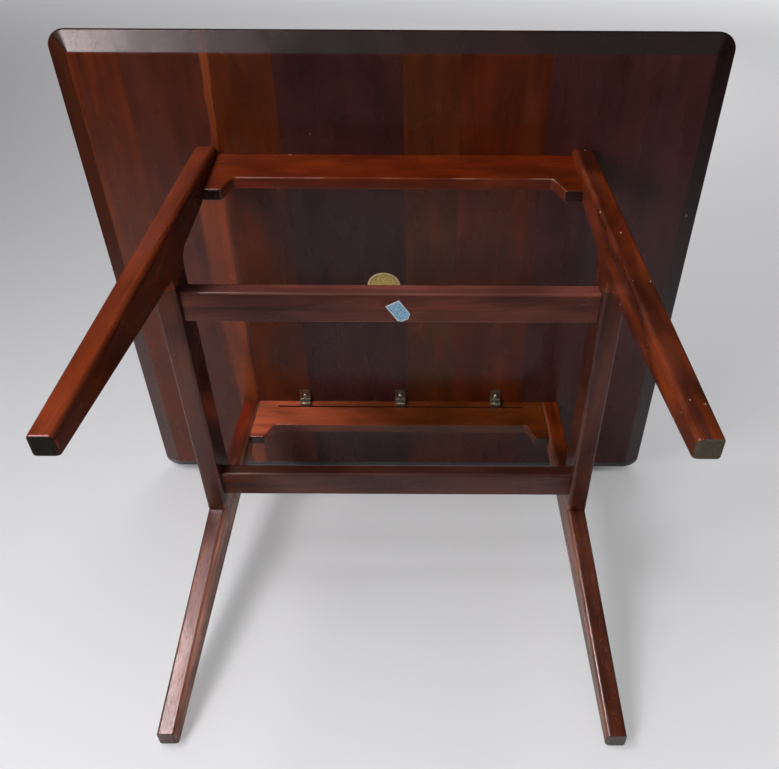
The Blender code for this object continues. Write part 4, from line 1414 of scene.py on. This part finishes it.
def strip_band(path):
    """Rounded thin sections along a path. At s from the nearer end the half width is
    w - c + sqrt(c^2 - (c - s)^2) while s is less than c, and w after that. Gives (across, along,
    up) and an edge mask that is 1 on the section's four rounded corners."""
    step = np.linalg.norm(np.diff(path, axis=0), axis=1)
    run = np.concatenate([[0], np.cumsum(step)])
    from_end = np.minimum(run, run[-1] - run)
    short = np.maximum(CLIP_CORNER - from_end, 0)
    half = CLIP_WIDTH / 2 - CLIP_CORNER + np.sqrt(CLIP_CORNER**2 - short**2)
    tangent = np.gradient(path, axis=0)
    tangent /= np.linalg.norm(tangent, axis=1, keepdims=True)
    normal = np.stack([-tangent[:, 1], tangent[:, 0]], axis=1)
    quarter = np.arange(4)[:, None] * math.pi / 2
    angle = (quarter + np.linspace(0, math.pi / 2, SECTION_STEPS)[None]).ravel()
    middle = (quarter + math.pi / 4 + np.zeros(SECTION_STEPS)[None]).ravel()
    wide = (half - CLIP_SECTION_ROUND)[:, None] * np.sign(np.cos(middle))[None]
    across = wide + CLIP_SECTION_ROUND * np.cos(angle)[None]
    thick = (CLIP_STRIP / 2 - CLIP_SECTION_ROUND) * np.sign(np.sin(middle))
    through = thick + CLIP_SECTION_ROUND * np.sin(angle)
    flat = path[:, None, :] + normal[:, None, :] * through[None, :, None]
    edge = np.broadcast_to(np.abs(np.sin(2 * angle))[None], across.shape)
    return np.concatenate([across[:, :, None], flat], axis=2), edge


print("clip path", len(clip_path()), "points")


# %% Clips
def add_clip(end_name, place_name):
    """A clip on its screw's place along the apron, the front ones mirrored."""
    end = ENDS[end_name]
    middle = CLIP_PLACES[place_name] * CLIP_SPACING
    grid, edge = strip_band(clip_path())
    across, along, up = np.moveaxis(grid, 2, 0)
    points = np.stack([middle + across, end * (apron_low.y + along), UNDERSIDE + up], axis=2)
    place = np.stack([across, along + CLIP_SCREW_SETBACK, up], axis=2)
    name = f"clip_{end_name}_{place_name}"
    return add_piece(name, points, band_faces(*grid.shape[:2]), CLIP_STEEL, place, edge)


for end_name in ENDS:
    for place_name in CLIP_PLACES:
        add_clip(end_name, place_name)

# %% [markdown]
# ## The screws
#
# A round head with a slot. Rings round its middle would leave the slot's edges ragged, so the head
# is drawn in rows across it: each row is a chord of the circle, at the dome's height, and the rows
# in the slot drop to its floor. Two rows lie on each wall of the slot, which keeps it upright.

# %% Screw head
SCREW_HEAD_HEIGHT = 0.0024
SCREW_SLOT = 0.0010
SCREW_RIM_DEGREES = 86
SCREW_ROWS = 12
SCREW_CHORD_POINTS = 19


def screw_head():
    """Loops across the head: at y the chord reaches x = sqrt(R^2 - y^2), the dome drops by
    h = H sqrt(1 - (x^2 + y^2) / R^2), and the loop goes back along the flat seat."""
    wall = math.asin(SCREW_SLOT / 2 / SCREW_RADIUS)
    outer = SCREW_RADIUS * np.sin(np.linspace(math.radians(SCREW_RIM_DEGREES), wall, SCREW_ROWS))
    y = np.concatenate([-outer, [-SCREW_SLOT / 2, SCREW_SLOT / 2], outer[::-1]])
    floor = np.full(len(y), SCREW_HEAD_HEIGHT)
    floor[len(outer): len(outer) + 2] = SCREW_HEAD_HEIGHT - SCREW_SLOT
    share = np.sin(np.linspace(-math.pi / 2, math.pi / 2, SCREW_CHORD_POINTS))
    chord = np.sqrt(SCREW_RADIUS**2 - y**2)
    x = chord[:, None] * share[None]
    dome = 1 - (x**2 + y[:, None] ** 2) / SCREW_RADIUS**2
    drop = np.minimum(SCREW_HEAD_HEIGHT * np.sqrt(np.maximum(dome, 0)), floor[:, None])
    deep = np.stack([x, np.broadcast_to(y[:, None], x.shape), -drop], axis=2)
    seat = deep[:, -2:0:-1] * (1, 1, 0)
    return np.concatenate([deep, seat], axis=1)


print("screw head", screw_head().shape)

# %% Screws
SCREW_SHANK_RADIUS = 0.0018
SCREW_POINT_RADIUS = SCREW_SHANK_RADIUS / 8
SCREW_GRIP = 0.009
SCREW_POINT = 0.003
SHANK_STEPS = 20
SCREW_STEEL = metal_finish("screw_steel", (0.62, 0.58, 0.52), (0.16, 0.13, 0.10), 0.6, (0.26, 0.5))


def turned_rings(profile, steps):
    """A profile of (radius, height) carried round an axis: x = r cos a, y = r sin a."""
    radius, height = np.array(profile, float).T
    angle = np.arange(steps) * 2 * math.pi / steps
    x = radius[:, None] * np.cos(angle)[None]
    y = radius[:, None] * np.sin(angle)[None]
    return np.stack([x, y, np.broadcast_to(height[:, None], x.shape)], axis=2)


def flat_turn(degrees):
    """Matrix that turns rows of (x, y, z) about Z."""
    angle = math.radians(degrees)
    cosine, sine = math.cos(angle), math.sin(angle)
    return np.array([[cosine, sine, 0], [-sine, cosine, 0], [0, 0, 1]])


def add_screw(end_name, place_name, turn_degrees):
    """A screw: the head below the clip and the shank up in the top, its slot turned at random."""
    seat = -2 * FIT - CLIP_STRIP
    head = screw_head() + (0, 0, seat)
    profile = [
        (SCREW_SHANK_RADIUS, seat),
        (SCREW_SHANK_RADIUS, SCREW_GRIP - SCREW_POINT),
        (SCREW_POINT_RADIUS, SCREW_GRIP),
    ]
    shank = turned_rings(profile, SHANK_STEPS)
    faces = band_faces(*head.shape[:2])
    start = head.shape[0] * head.shape[1]
    faces += [[corner + start for corner in face] for face in band_faces(*shank.shape[:2])]
    place = np.concatenate([head.reshape(-1, 3), shank.reshape(-1, 3)])
    middle = CLIP_PLACES[place_name] * CLIP_SPACING
    where = (middle, ENDS[end_name] * (apron_low.y - CLIP_SCREW_SETBACK), UNDERSIDE)
    name = f"screw_{end_name}_{place_name}"
    points = place @ flat_turn(turn_degrees) + where
    return add_piece(name, points, faces, SCREW_STEEL, place)


SLOT_TURNS = iter((20, -35, 62, 8, 48, -70))
for end_name in ENDS:
    for place_name in CLIP_PLACES:
        add_screw(end_name, place_name, next(SLOT_TURNS))

# %% [markdown]
# ## The label disc
#
# A plain gilt disc sits on the underside. It is a profile turned round its axis: a flat field and
# a low bead at its rim. A lathe would make it so, and so does one array of radii and heights.

# %% Label disc
DISC_PLACE = (-0.018, -0.021)
DISC_RADIUS = 0.0215
DISC_BORDER = 0.0030
DISC_THICKNESS = 0.0008
DISC_BEAD = 0.0012
DISC_EDGE_BREAK = 0.0002
DISC_FIELD_RING = 0.0105
DISC_MIDDLE_RING = 0.001
DISC_BEAD_SHARES = (0.08, 1, 14)
DISC_STEPS = 96
DISC_GILT = metal_finish(
    "disc_gilt",
    (0.80, 0.58, 0.17),
    (0.44, 0.30, 0.085),
    0.75,
    (0.38, 0.56),
    metallic=0.25,
    rings=[
        ((0.80, 0.62, 0.40), DISC_RADIUS - DISC_BORDER * 0.45, DISC_BORDER * 0.5, DISC_BORDER, 0.9),
        ((0.07, 0.045, 0.02), DISC_RADIUS - DISC_BORDER * 1.35, 0.0006, 0.0006, 0.8),
    ],
)


def disc_profile():
    """From the middle of the back over the rim's bead to the middle of the face. The bead's
    height is t + (b - t) sin(180 s) over its width, with s from 0 to 1."""
    share = np.linspace(*DISC_BEAD_SHARES)
    bead = DISC_THICKNESS + (DISC_BEAD - DISC_THICKNESS) * np.sin(math.pi * share)
    radius = DISC_RADIUS - DISC_BORDER * share
    back = [(DISC_MIDDLE_RING, 0), (DISC_RADIUS - DISC_EDGE_BREAK, 0), (DISC_RADIUS, -DISC_EDGE_BREAK)]
    face = [(DISC_FIELD_RING, -DISC_THICKNESS), (DISC_MIDDLE_RING, -DISC_THICKNESS)]
    return back + list(zip(radius, -bead)) + face


def add_disc():
    """The disc, flat on the underside."""
    rings = turned_rings(disc_profile(), DISC_STEPS)
    where = (*DISC_PLACE, UNDERSIDE - FIT)
    faces = band_faces(*rings.shape[:2])
    return add_piece("label_disc", rings + where, faces, DISC_GILT, rings)


add_disc()

# %% [markdown]
# ## The paper tag
#
# A small pale blue tag sticks to the underside of the front cross rail: a plain sheet with two
# clipped corners, whose one end has begun to lift. It is worked out in rows along its length, and
# the lift is the cube of the share of the way.

# %% Tag sizes and finish
TAG_X = 0.0090
TAG_SHIFT = 0.0034
TAG_WIDTH = 0.0173
TAG_LENGTH = 0.0280
TAG_CUTS = {"left": (0.0042, 0.0032), "right": (0.0056, 0.0050)}
TAG_THICKNESS = 0.0004
TAG_TURN_DEGREES = -31
TAG_LIFT = 0.0007
TAG_LEFT_LIFT = 0.35
TAG_MORE_RIGHT_LIFT = 0.65
TAG_MARGIN = 0.0013
TAG_ROWS = 57
TAG_COLUMNS = 31
TAG_PALE_BLUE = (0.30, 0.53, 0.64)
TAG_DEEP_BLUE = (0.135, 0.225, 0.38)
TAG_WHITE = (0.62, 0.68, 0.68)
TAG_PATCH_SCALE = (420, 420, 420)
TAG_PATCH_LIMITS = (0.38, 0.64)
TAG_FIBRE_SCALE = (2600, 900, 900)
TAG_FIBRE_LEVELS = (0.9, 1.06)
TAG_MARGIN_LIMITS = (0.5, 1.1)
TAG_BUMP = 0.4
TAG_BUMP_DEPTH = 0.0001


def tag_finish():
    """Pale blue paper, deeper blue in soft patches, with a white margin and a fine fibrous grain.
    The attribute edge holds the distance from the sheet's edge in margins."""
    made, tree, shader = start_material("tag_paper", 0.7, gloss=0.3)
    place = add_node(tree, "ShaderNodeAttribute", attribute_name="place").outputs["Vector"]
    edge = add_node(tree, "ShaderNodeAttribute", attribute_name="edge").outputs["Fac"]
    patches = map_range(tree, noise(tree, place, TAG_PATCH_SCALE, 3.0, 0.6), *TAG_PATCH_LIMITS)
    colour = mix_colour(tree, patches, TAG_PALE_BLUE, TAG_DEEP_BLUE)
    fibre = noise(tree, place, TAG_FIBRE_SCALE, 2.0)
    margin = calculate(tree, "SUBTRACT", 1.0, map_range(tree, edge, *TAG_MARGIN_LIMITS))
    colour = mix_colour(tree, margin, colour, TAG_WHITE)
    level = map_range(tree, fibre, *MOST_NOISE, *TAG_FIBRE_LEVELS)
    tone = add_node(tree, "ShaderNodeCombineColor", {0: level, 1: level, 2: level}).outputs[0]
    tree.links.new(mix_colour(tree, 1.0, colour, tone, "MULTIPLY"), shader.inputs["Base Color"])
    values = {"Height": fibre, "Strength": TAG_BUMP, "Distance": TAG_BUMP_DEPTH}
    bump = add_node(tree, "ShaderNodeBump", values)
    tree.links.new(bump.outputs["Normal"], shader.inputs["Normal"])
    return made


print("tag", TAG_WIDTH, "by", TAG_LENGTH)


# %% Paper tag
def tag_reach(length, cut):
    """Half width along the length: whole, then straight in over the clipped corner."""
    wide, deep = cut
    return TAG_WIDTH / 2 - wide * np.clip((length - TAG_LENGTH / 2 + deep) / deep, 0, 1)


def add_tag():
    """A sheet in rows along its length: each row is a loop, across the face and back behind it.
    It lifts by the cube of the share of the way along it, more on its right than on its left."""
    length = np.linspace(-TAG_LENGTH / 2, TAG_LENGTH / 2, TAG_ROWS)
    left = -tag_reach(length, TAG_CUTS["left"])
    right = tag_reach(length, TAG_CUTS["right"])
    share = np.linspace(0, 1, TAG_COLUMNS)
    x = left[:, None] + (right - left)[:, None] * share[None]
    y = np.broadcast_to(length[:, None], x.shape)
    way = length / TAG_LENGTH + 0.5
    lift = TAG_LIFT * way[:, None] ** 3 * (TAG_LEFT_LIFT + TAG_MORE_RIGHT_LIFT * share[None])
    sides = np.minimum(x - left[:, None], right[:, None] - x)
    ends = np.minimum(y + TAG_LENGTH / 2, TAG_LENGTH / 2 - y)
    edge = np.minimum(sides, ends) / TAG_MARGIN
    front = np.stack([x, y, -lift - TAG_THICKNESS / 2], axis=2)
    behind = np.stack([x, y, -lift + TAG_THICKNESS / 2], axis=2)[:, ::-1]
    place = np.concatenate([front, behind], axis=1)
    edge = np.concatenate([edge, edge[:, ::-1]], axis=1)
    rail_middle = (cross_low.y + cross_high.y) / 2
    where = (TAG_X, TAG_SHIFT - rail_middle, cross_low.z - FIT - TAG_THICKNESS / 2)
    points = place @ flat_turn(TAG_TURN_DEGREES) + where
    faces = band_faces(*place.shape[:2])
    return add_piece("paper_tag", points, faces, tag_finish(), place, edge)


add_tag()

# %% [markdown]
# ## The stage
#
# The real floor runs under the back edge of the top and the back feet. In the table's frame that
# is a steep plane behind it. It shows only from its front, so the back of the table can be looked
# at too. A second floor lies level under the feet. Only the camera sees it, and only from above.

# %% Light and shade of the tipped floor
TILT = math.atan2(TOP_HALF - leg_high.y, top_high.z - RIM_HEIGHT)
ROOM_BACK = Vector((0, math.sin(TILT), math.cos(TILT)))
FLOOR_POINT = Vector((0, leg_high.y + FIT, 0))
CREASE = top_high.z - RIM_HEIGHT
CREASE_ENDS = (0.37, 0.30)
CREASE_FADE = (0.016, 0.004)
CREASE_SHADE = 0.9
FLOOR_COLOUR = (0.78, 0.78, 0.795)
FLOOR_SEEN = (0.606, 0.597, 0.618)
FLOOR_MIRRORED = (0.68, 0.68, 0.69)
DARK_ROOM = (0.02, 0.02, 0.02)
SHEET_FRONT = (-0.25, -0.02)
SHEET_LEFT = (-0.95, -0.60)
SHEET_RIGHT = (1.60, 0.60)
FLOOR_GLOW = (0.317, 0.051, -0.303, 0.111, 0.021)
GLOW_MOST = 0.60


def crease(tree, axes):
    """1 along the line where the table's back edge meets the floor, fading over about a cm."""
    off = calculate(tree, "ABSOLUTE", calculate(tree, "SUBTRACT", axes["Z"], CREASE))
    across = map_range(tree, calculate(tree, "ABSOLUTE", axes["X"]), *CREASE_ENDS)
    return calculate(tree, "MULTIPLY", across, map_range(tree, off, *CREASE_FADE))


def floor_glow(tree, axes, seen):
    """Light that the camera alone sees on the floor, as from a window off to one side:
    a + b x + c z + d z^2 + e x z, between nothing and a most, and little in the crease."""
    start, by_x, by_z, by_square, by_both = FLOOR_GLOW
    level = calculate(tree, "MULTIPLY_ADD", axes["Z"], by_square, by_z)
    level = calculate(tree, "MULTIPLY_ADD", level, axes["Z"], start)
    sideways = calculate(tree, "MULTIPLY_ADD", axes["Z"], by_both, by_x)
    level = calculate(tree, "MULTIPLY_ADD", axes["X"], sideways, level)
    shade = calculate(tree, "MULTIPLY", crease(tree, axes), CREASE_SHADE)
    lit = calculate(tree, "SUBTRACT", 1.0, shade)
    level = calculate(tree, "MINIMUM", calculate(tree, "MAXIMUM", level, 0.0), GLOW_MOST)
    level = calculate(tree, "MULTIPLY", level, lit)
    level = calculate(tree, "MULTIPLY", level, seen)
    return add_node(tree, "ShaderNodeCombineColor", {0: level, 1: level, 2: level}).outputs[0]


def floor_colour(tree, axes, paths):
    """The floor's grey. Its pale sheet ends a little beyond the feet and some way out on either
    side, so in the oil's reflections what lies further out is a dark room."""
    sheet = map_range(tree, axes["Z"], *SHEET_FRONT)
    sheet = calculate(tree, "MULTIPLY", sheet, map_range(tree, axes["X"], *SHEET_LEFT))
    sheet = calculate(tree, "MULTIPLY", sheet, map_range(tree, axes["X"], *SHEET_RIGHT))
    mirrored = mix_colour(tree, sheet, DARK_ROOM, FLOOR_MIRRORED)
    colour = mix_colour(tree, paths["Is Camera Ray"], FLOOR_COLOUR, FLOOR_SEEN)
    return mix_colour(tree, paths["Is Glossy Ray"], colour, mirrored)


print("tilt", round(math.degrees(TILT), 2))

# %% Floor finishes
FLOOR_ROUGHNESS = 0.9
FLOOR_GLOSS = 0.1
LEVEL_FLOOR_COLOUR = (0.25, 0.25, 0.255)
LEVEL_FLOOR_GLOW = (0.45, 0.45, 0.45)
BY_THE_LAMP_COLOUR = (0.01, 0.01, 0.01)
BY_THE_LAMP_GLOW = (0.60, 0.60, 0.60)
BY_THE_LAMP = (-0.95, -0.45)


def floor_material(name, only_camera):
    """A matt floor, seen from its front side only. The level one goes darker and glows more in
    front of the table, where the side lamp would light it too much."""
    made, tree, shader = start_material(name, FLOOR_ROUGHNESS, gloss=FLOOR_GLOSS)
    where = add_node(tree, "ShaderNodeTexCoord").outputs["Object"]
    axes = add_node(tree, "ShaderNodeSeparateXYZ", {0: where}).outputs
    paths = add_node(tree, "ShaderNodeLightPath").outputs
    shader.inputs["Emission Strength"].default_value = 1.0
    behind = add_node(tree, "ShaderNodeNewGeometry").outputs["Backfacing"]
    if only_camera:
        unseen = calculate(tree, "SUBTRACT", 1.0, paths["Is Camera Ray"])
        behind = calculate(tree, "MAXIMUM", behind, unseen)
        away = map_range(tree, axes["Y"], *BY_THE_LAMP)
        colour = mix_colour(tree, away, BY_THE_LAMP_COLOUR, LEVEL_FLOOR_COLOUR)
        tree.links.new(colour, shader.inputs["Base Color"])
        glow = mix_colour(tree, away, BY_THE_LAMP_GLOW, LEVEL_FLOOR_GLOW)
        tree.links.new(glow, shader.inputs["Emission Color"])
    else:
        tree.links.new(floor_colour(tree, axes, paths), shader.inputs["Base Color"])
        glow = floor_glow(tree, axes, paths["Is Camera Ray"])
        tree.links.new(glow, shader.inputs["Emission Color"])
    clear = add_node(tree, "ShaderNodeBsdfTransparent")
    mix = add_node(tree, "ShaderNodeMixShader", {0: behind, 1: shader.outputs[0], 2: clear.outputs[0]})
    tree.links.new(mix.outputs[0], tree.nodes["Material Output"].inputs["Surface"])
    return made


print("floor roughness", FLOOR_ROUGHNESS)


# %% Floors
def add_stage(name, points, material):
    """A stage surface from its corner points."""
    mesh = bpy.data.meshes.new(name)
    mesh.from_pydata([tuple(point) for point in points], [], [list(range(len(points)))])
    mesh.materials.append(material)
    surface = bpy.data.objects.new(name, mesh)
    bpy.context.scene.collection.objects.link(surface)
    return surface


FLOOR_HALF = 9.0
RIGHT = Vector((1, 0, 0))
CORNERS = ((-1, -1), (1, -1), (1, 1), (-1, 1))
tipped = [
    FLOOR_POINT + RIGHT * x * FLOOR_HALF + ROOM_BACK * back * FLOOR_HALF
    for x, back in CORNERS
]
add_stage("tipped_floor", tipped, floor_material("tipped_floor", False))
level_floor = [(x * FLOOR_HALF, y * FLOOR_HALF, 0) for x, y in CORNERS]
add_stage("level_floor", level_floor, floor_material("level_floor", True))
print("floors", 2 * FLOOR_HALF, "m wide")

# %% [markdown]
# ## Light
#
# A soft lamp stands on the left, further back than the camera, and throws the legs' shadows. A
# tall one nearer the table fills from the left, a third just below that one lays only the sheen on
# the left legs, and a broad one over the tabletop lights views from above. The world fills the
# shadows, more from the left, and in the oil it is mirrored as a dim room with a window and walls.


# %% Lamps
def add_lamp(name, place, aim, size, power):
    """A rectangular area lamp at a place, pointed at another."""
    data = bpy.data.lights.new(name, "AREA")
    data.shape = "RECTANGLE"
    data.size, data.size_y = size
    data.energy = power
    lamp = bpy.data.objects.new(name, data)
    lamp.location = place
    lamp.rotation_euler = (Vector(aim) - Vector(place)).to_track_quat("-Z", "Y").to_euler()
    bpy.context.scene.collection.objects.link(lamp)
    return lamp


LAMP_AIM = (0, 0, 0.3)
SHEEN_AIM = (0, 0, 0.1)
# Place, aim, size in metres and power in watts of each lamp.
LAMPS = {
    "key_lamp": ((-1.08, -1.04, -1.20), LAMP_AIM, (0.52, 0.52), 15),
    "side_lamp": ((-0.66, -1.15, 0.25), LAMP_AIM, (0.42, 0.70), 9),
    "side_sheen": ((-0.66, -1.15, 0.10), SHEEN_AIM, (0.42, 0.40), 13.5),
    "top_lamp": ((0.3, -0.5, 2.4), LAMP_AIM, (1.6, 1.6), 12),
}
lamps = {name: add_lamp(name, *facts) for name, facts in LAMPS.items()}
for name in ("side_lamp", "top_lamp"):
    lamps[name].visible_glossy = False
lamps["side_sheen"].visible_diffuse = False
print("lamps", list(lamps))

# %% World
WORLD_LEVEL = 0.28
WORLD_TO_LEFT = -0.22
WORLD_COLOUR = (0.95, 0.97, 1.0, 1)
WORLD_SEEN = 0.75
WORLD_SHEEN = 0.02
# Brightness of each part of the mirrored room, and where it fades in along the axes.
ROOM = {
    "window": (0.70, (("X", -0.04, -0.16), ("Y", -0.60, -0.80), ("Z", 0.18, 0.10))),
    "wall": (0.33, (("Z", -0.45, -0.80), ("Y", -0.10, -0.35))),
    "far_wall": (0.38, (("Z", 0.20, 0.32), ("Z", 0.60, 0.48))),
}


def room_part(tree, way, limits):
    """1 in the directions that lie within all the limits, the product of their fades."""
    part = None
    for axis, low, high in limits:
        fade = map_range(tree, way[axis], low, high)
        part = fade if part is None else calculate(tree, "MULTIPLY", part, fade)
    return part


def make_world():
    """Soft light from all round, more from the left. Glossy rays see a dim room, given in the
    table's own directions: a broad pale window in front on the left, a grey wall below and in
    front, and a pale band of wall all round above level. The camera sees a plain pale wall."""
    world = bpy.data.worlds.new("studio")
    world.use_nodes = True
    tree = world.node_tree
    paths = add_node(tree, "ShaderNodeLightPath").outputs
    where = add_node(tree, "ShaderNodeTexCoord").outputs["Generated"]
    way = add_node(tree, "ShaderNodeSeparateXYZ", {0: where}).outputs
    fill = calculate(tree, "MULTIPLY_ADD", way["X"], WORLD_TO_LEFT, WORLD_LEVEL)
    sheen = WORLD_SHEEN
    for brightness, limits in ROOM.values():
        sheen = calculate(tree, "MULTIPLY_ADD", room_part(tree, way, limits), brightness, sheen)
    level = map_range(tree, paths["Is Glossy Ray"], 0.0, 1.0, fill, sheen, smooth=False)
    seen = calculate(tree, "MULTIPLY", paths["Is Camera Ray"], WORLD_SEEN)
    level = calculate(tree, "MAXIMUM", level, seen)
    tree.links.new(level, tree.nodes["Background"].inputs["Strength"])
    tree.nodes["Background"].inputs["Color"].default_value = WORLD_COLOUR
    bpy.context.scene.world = world
    return world


print("world", make_world().name)
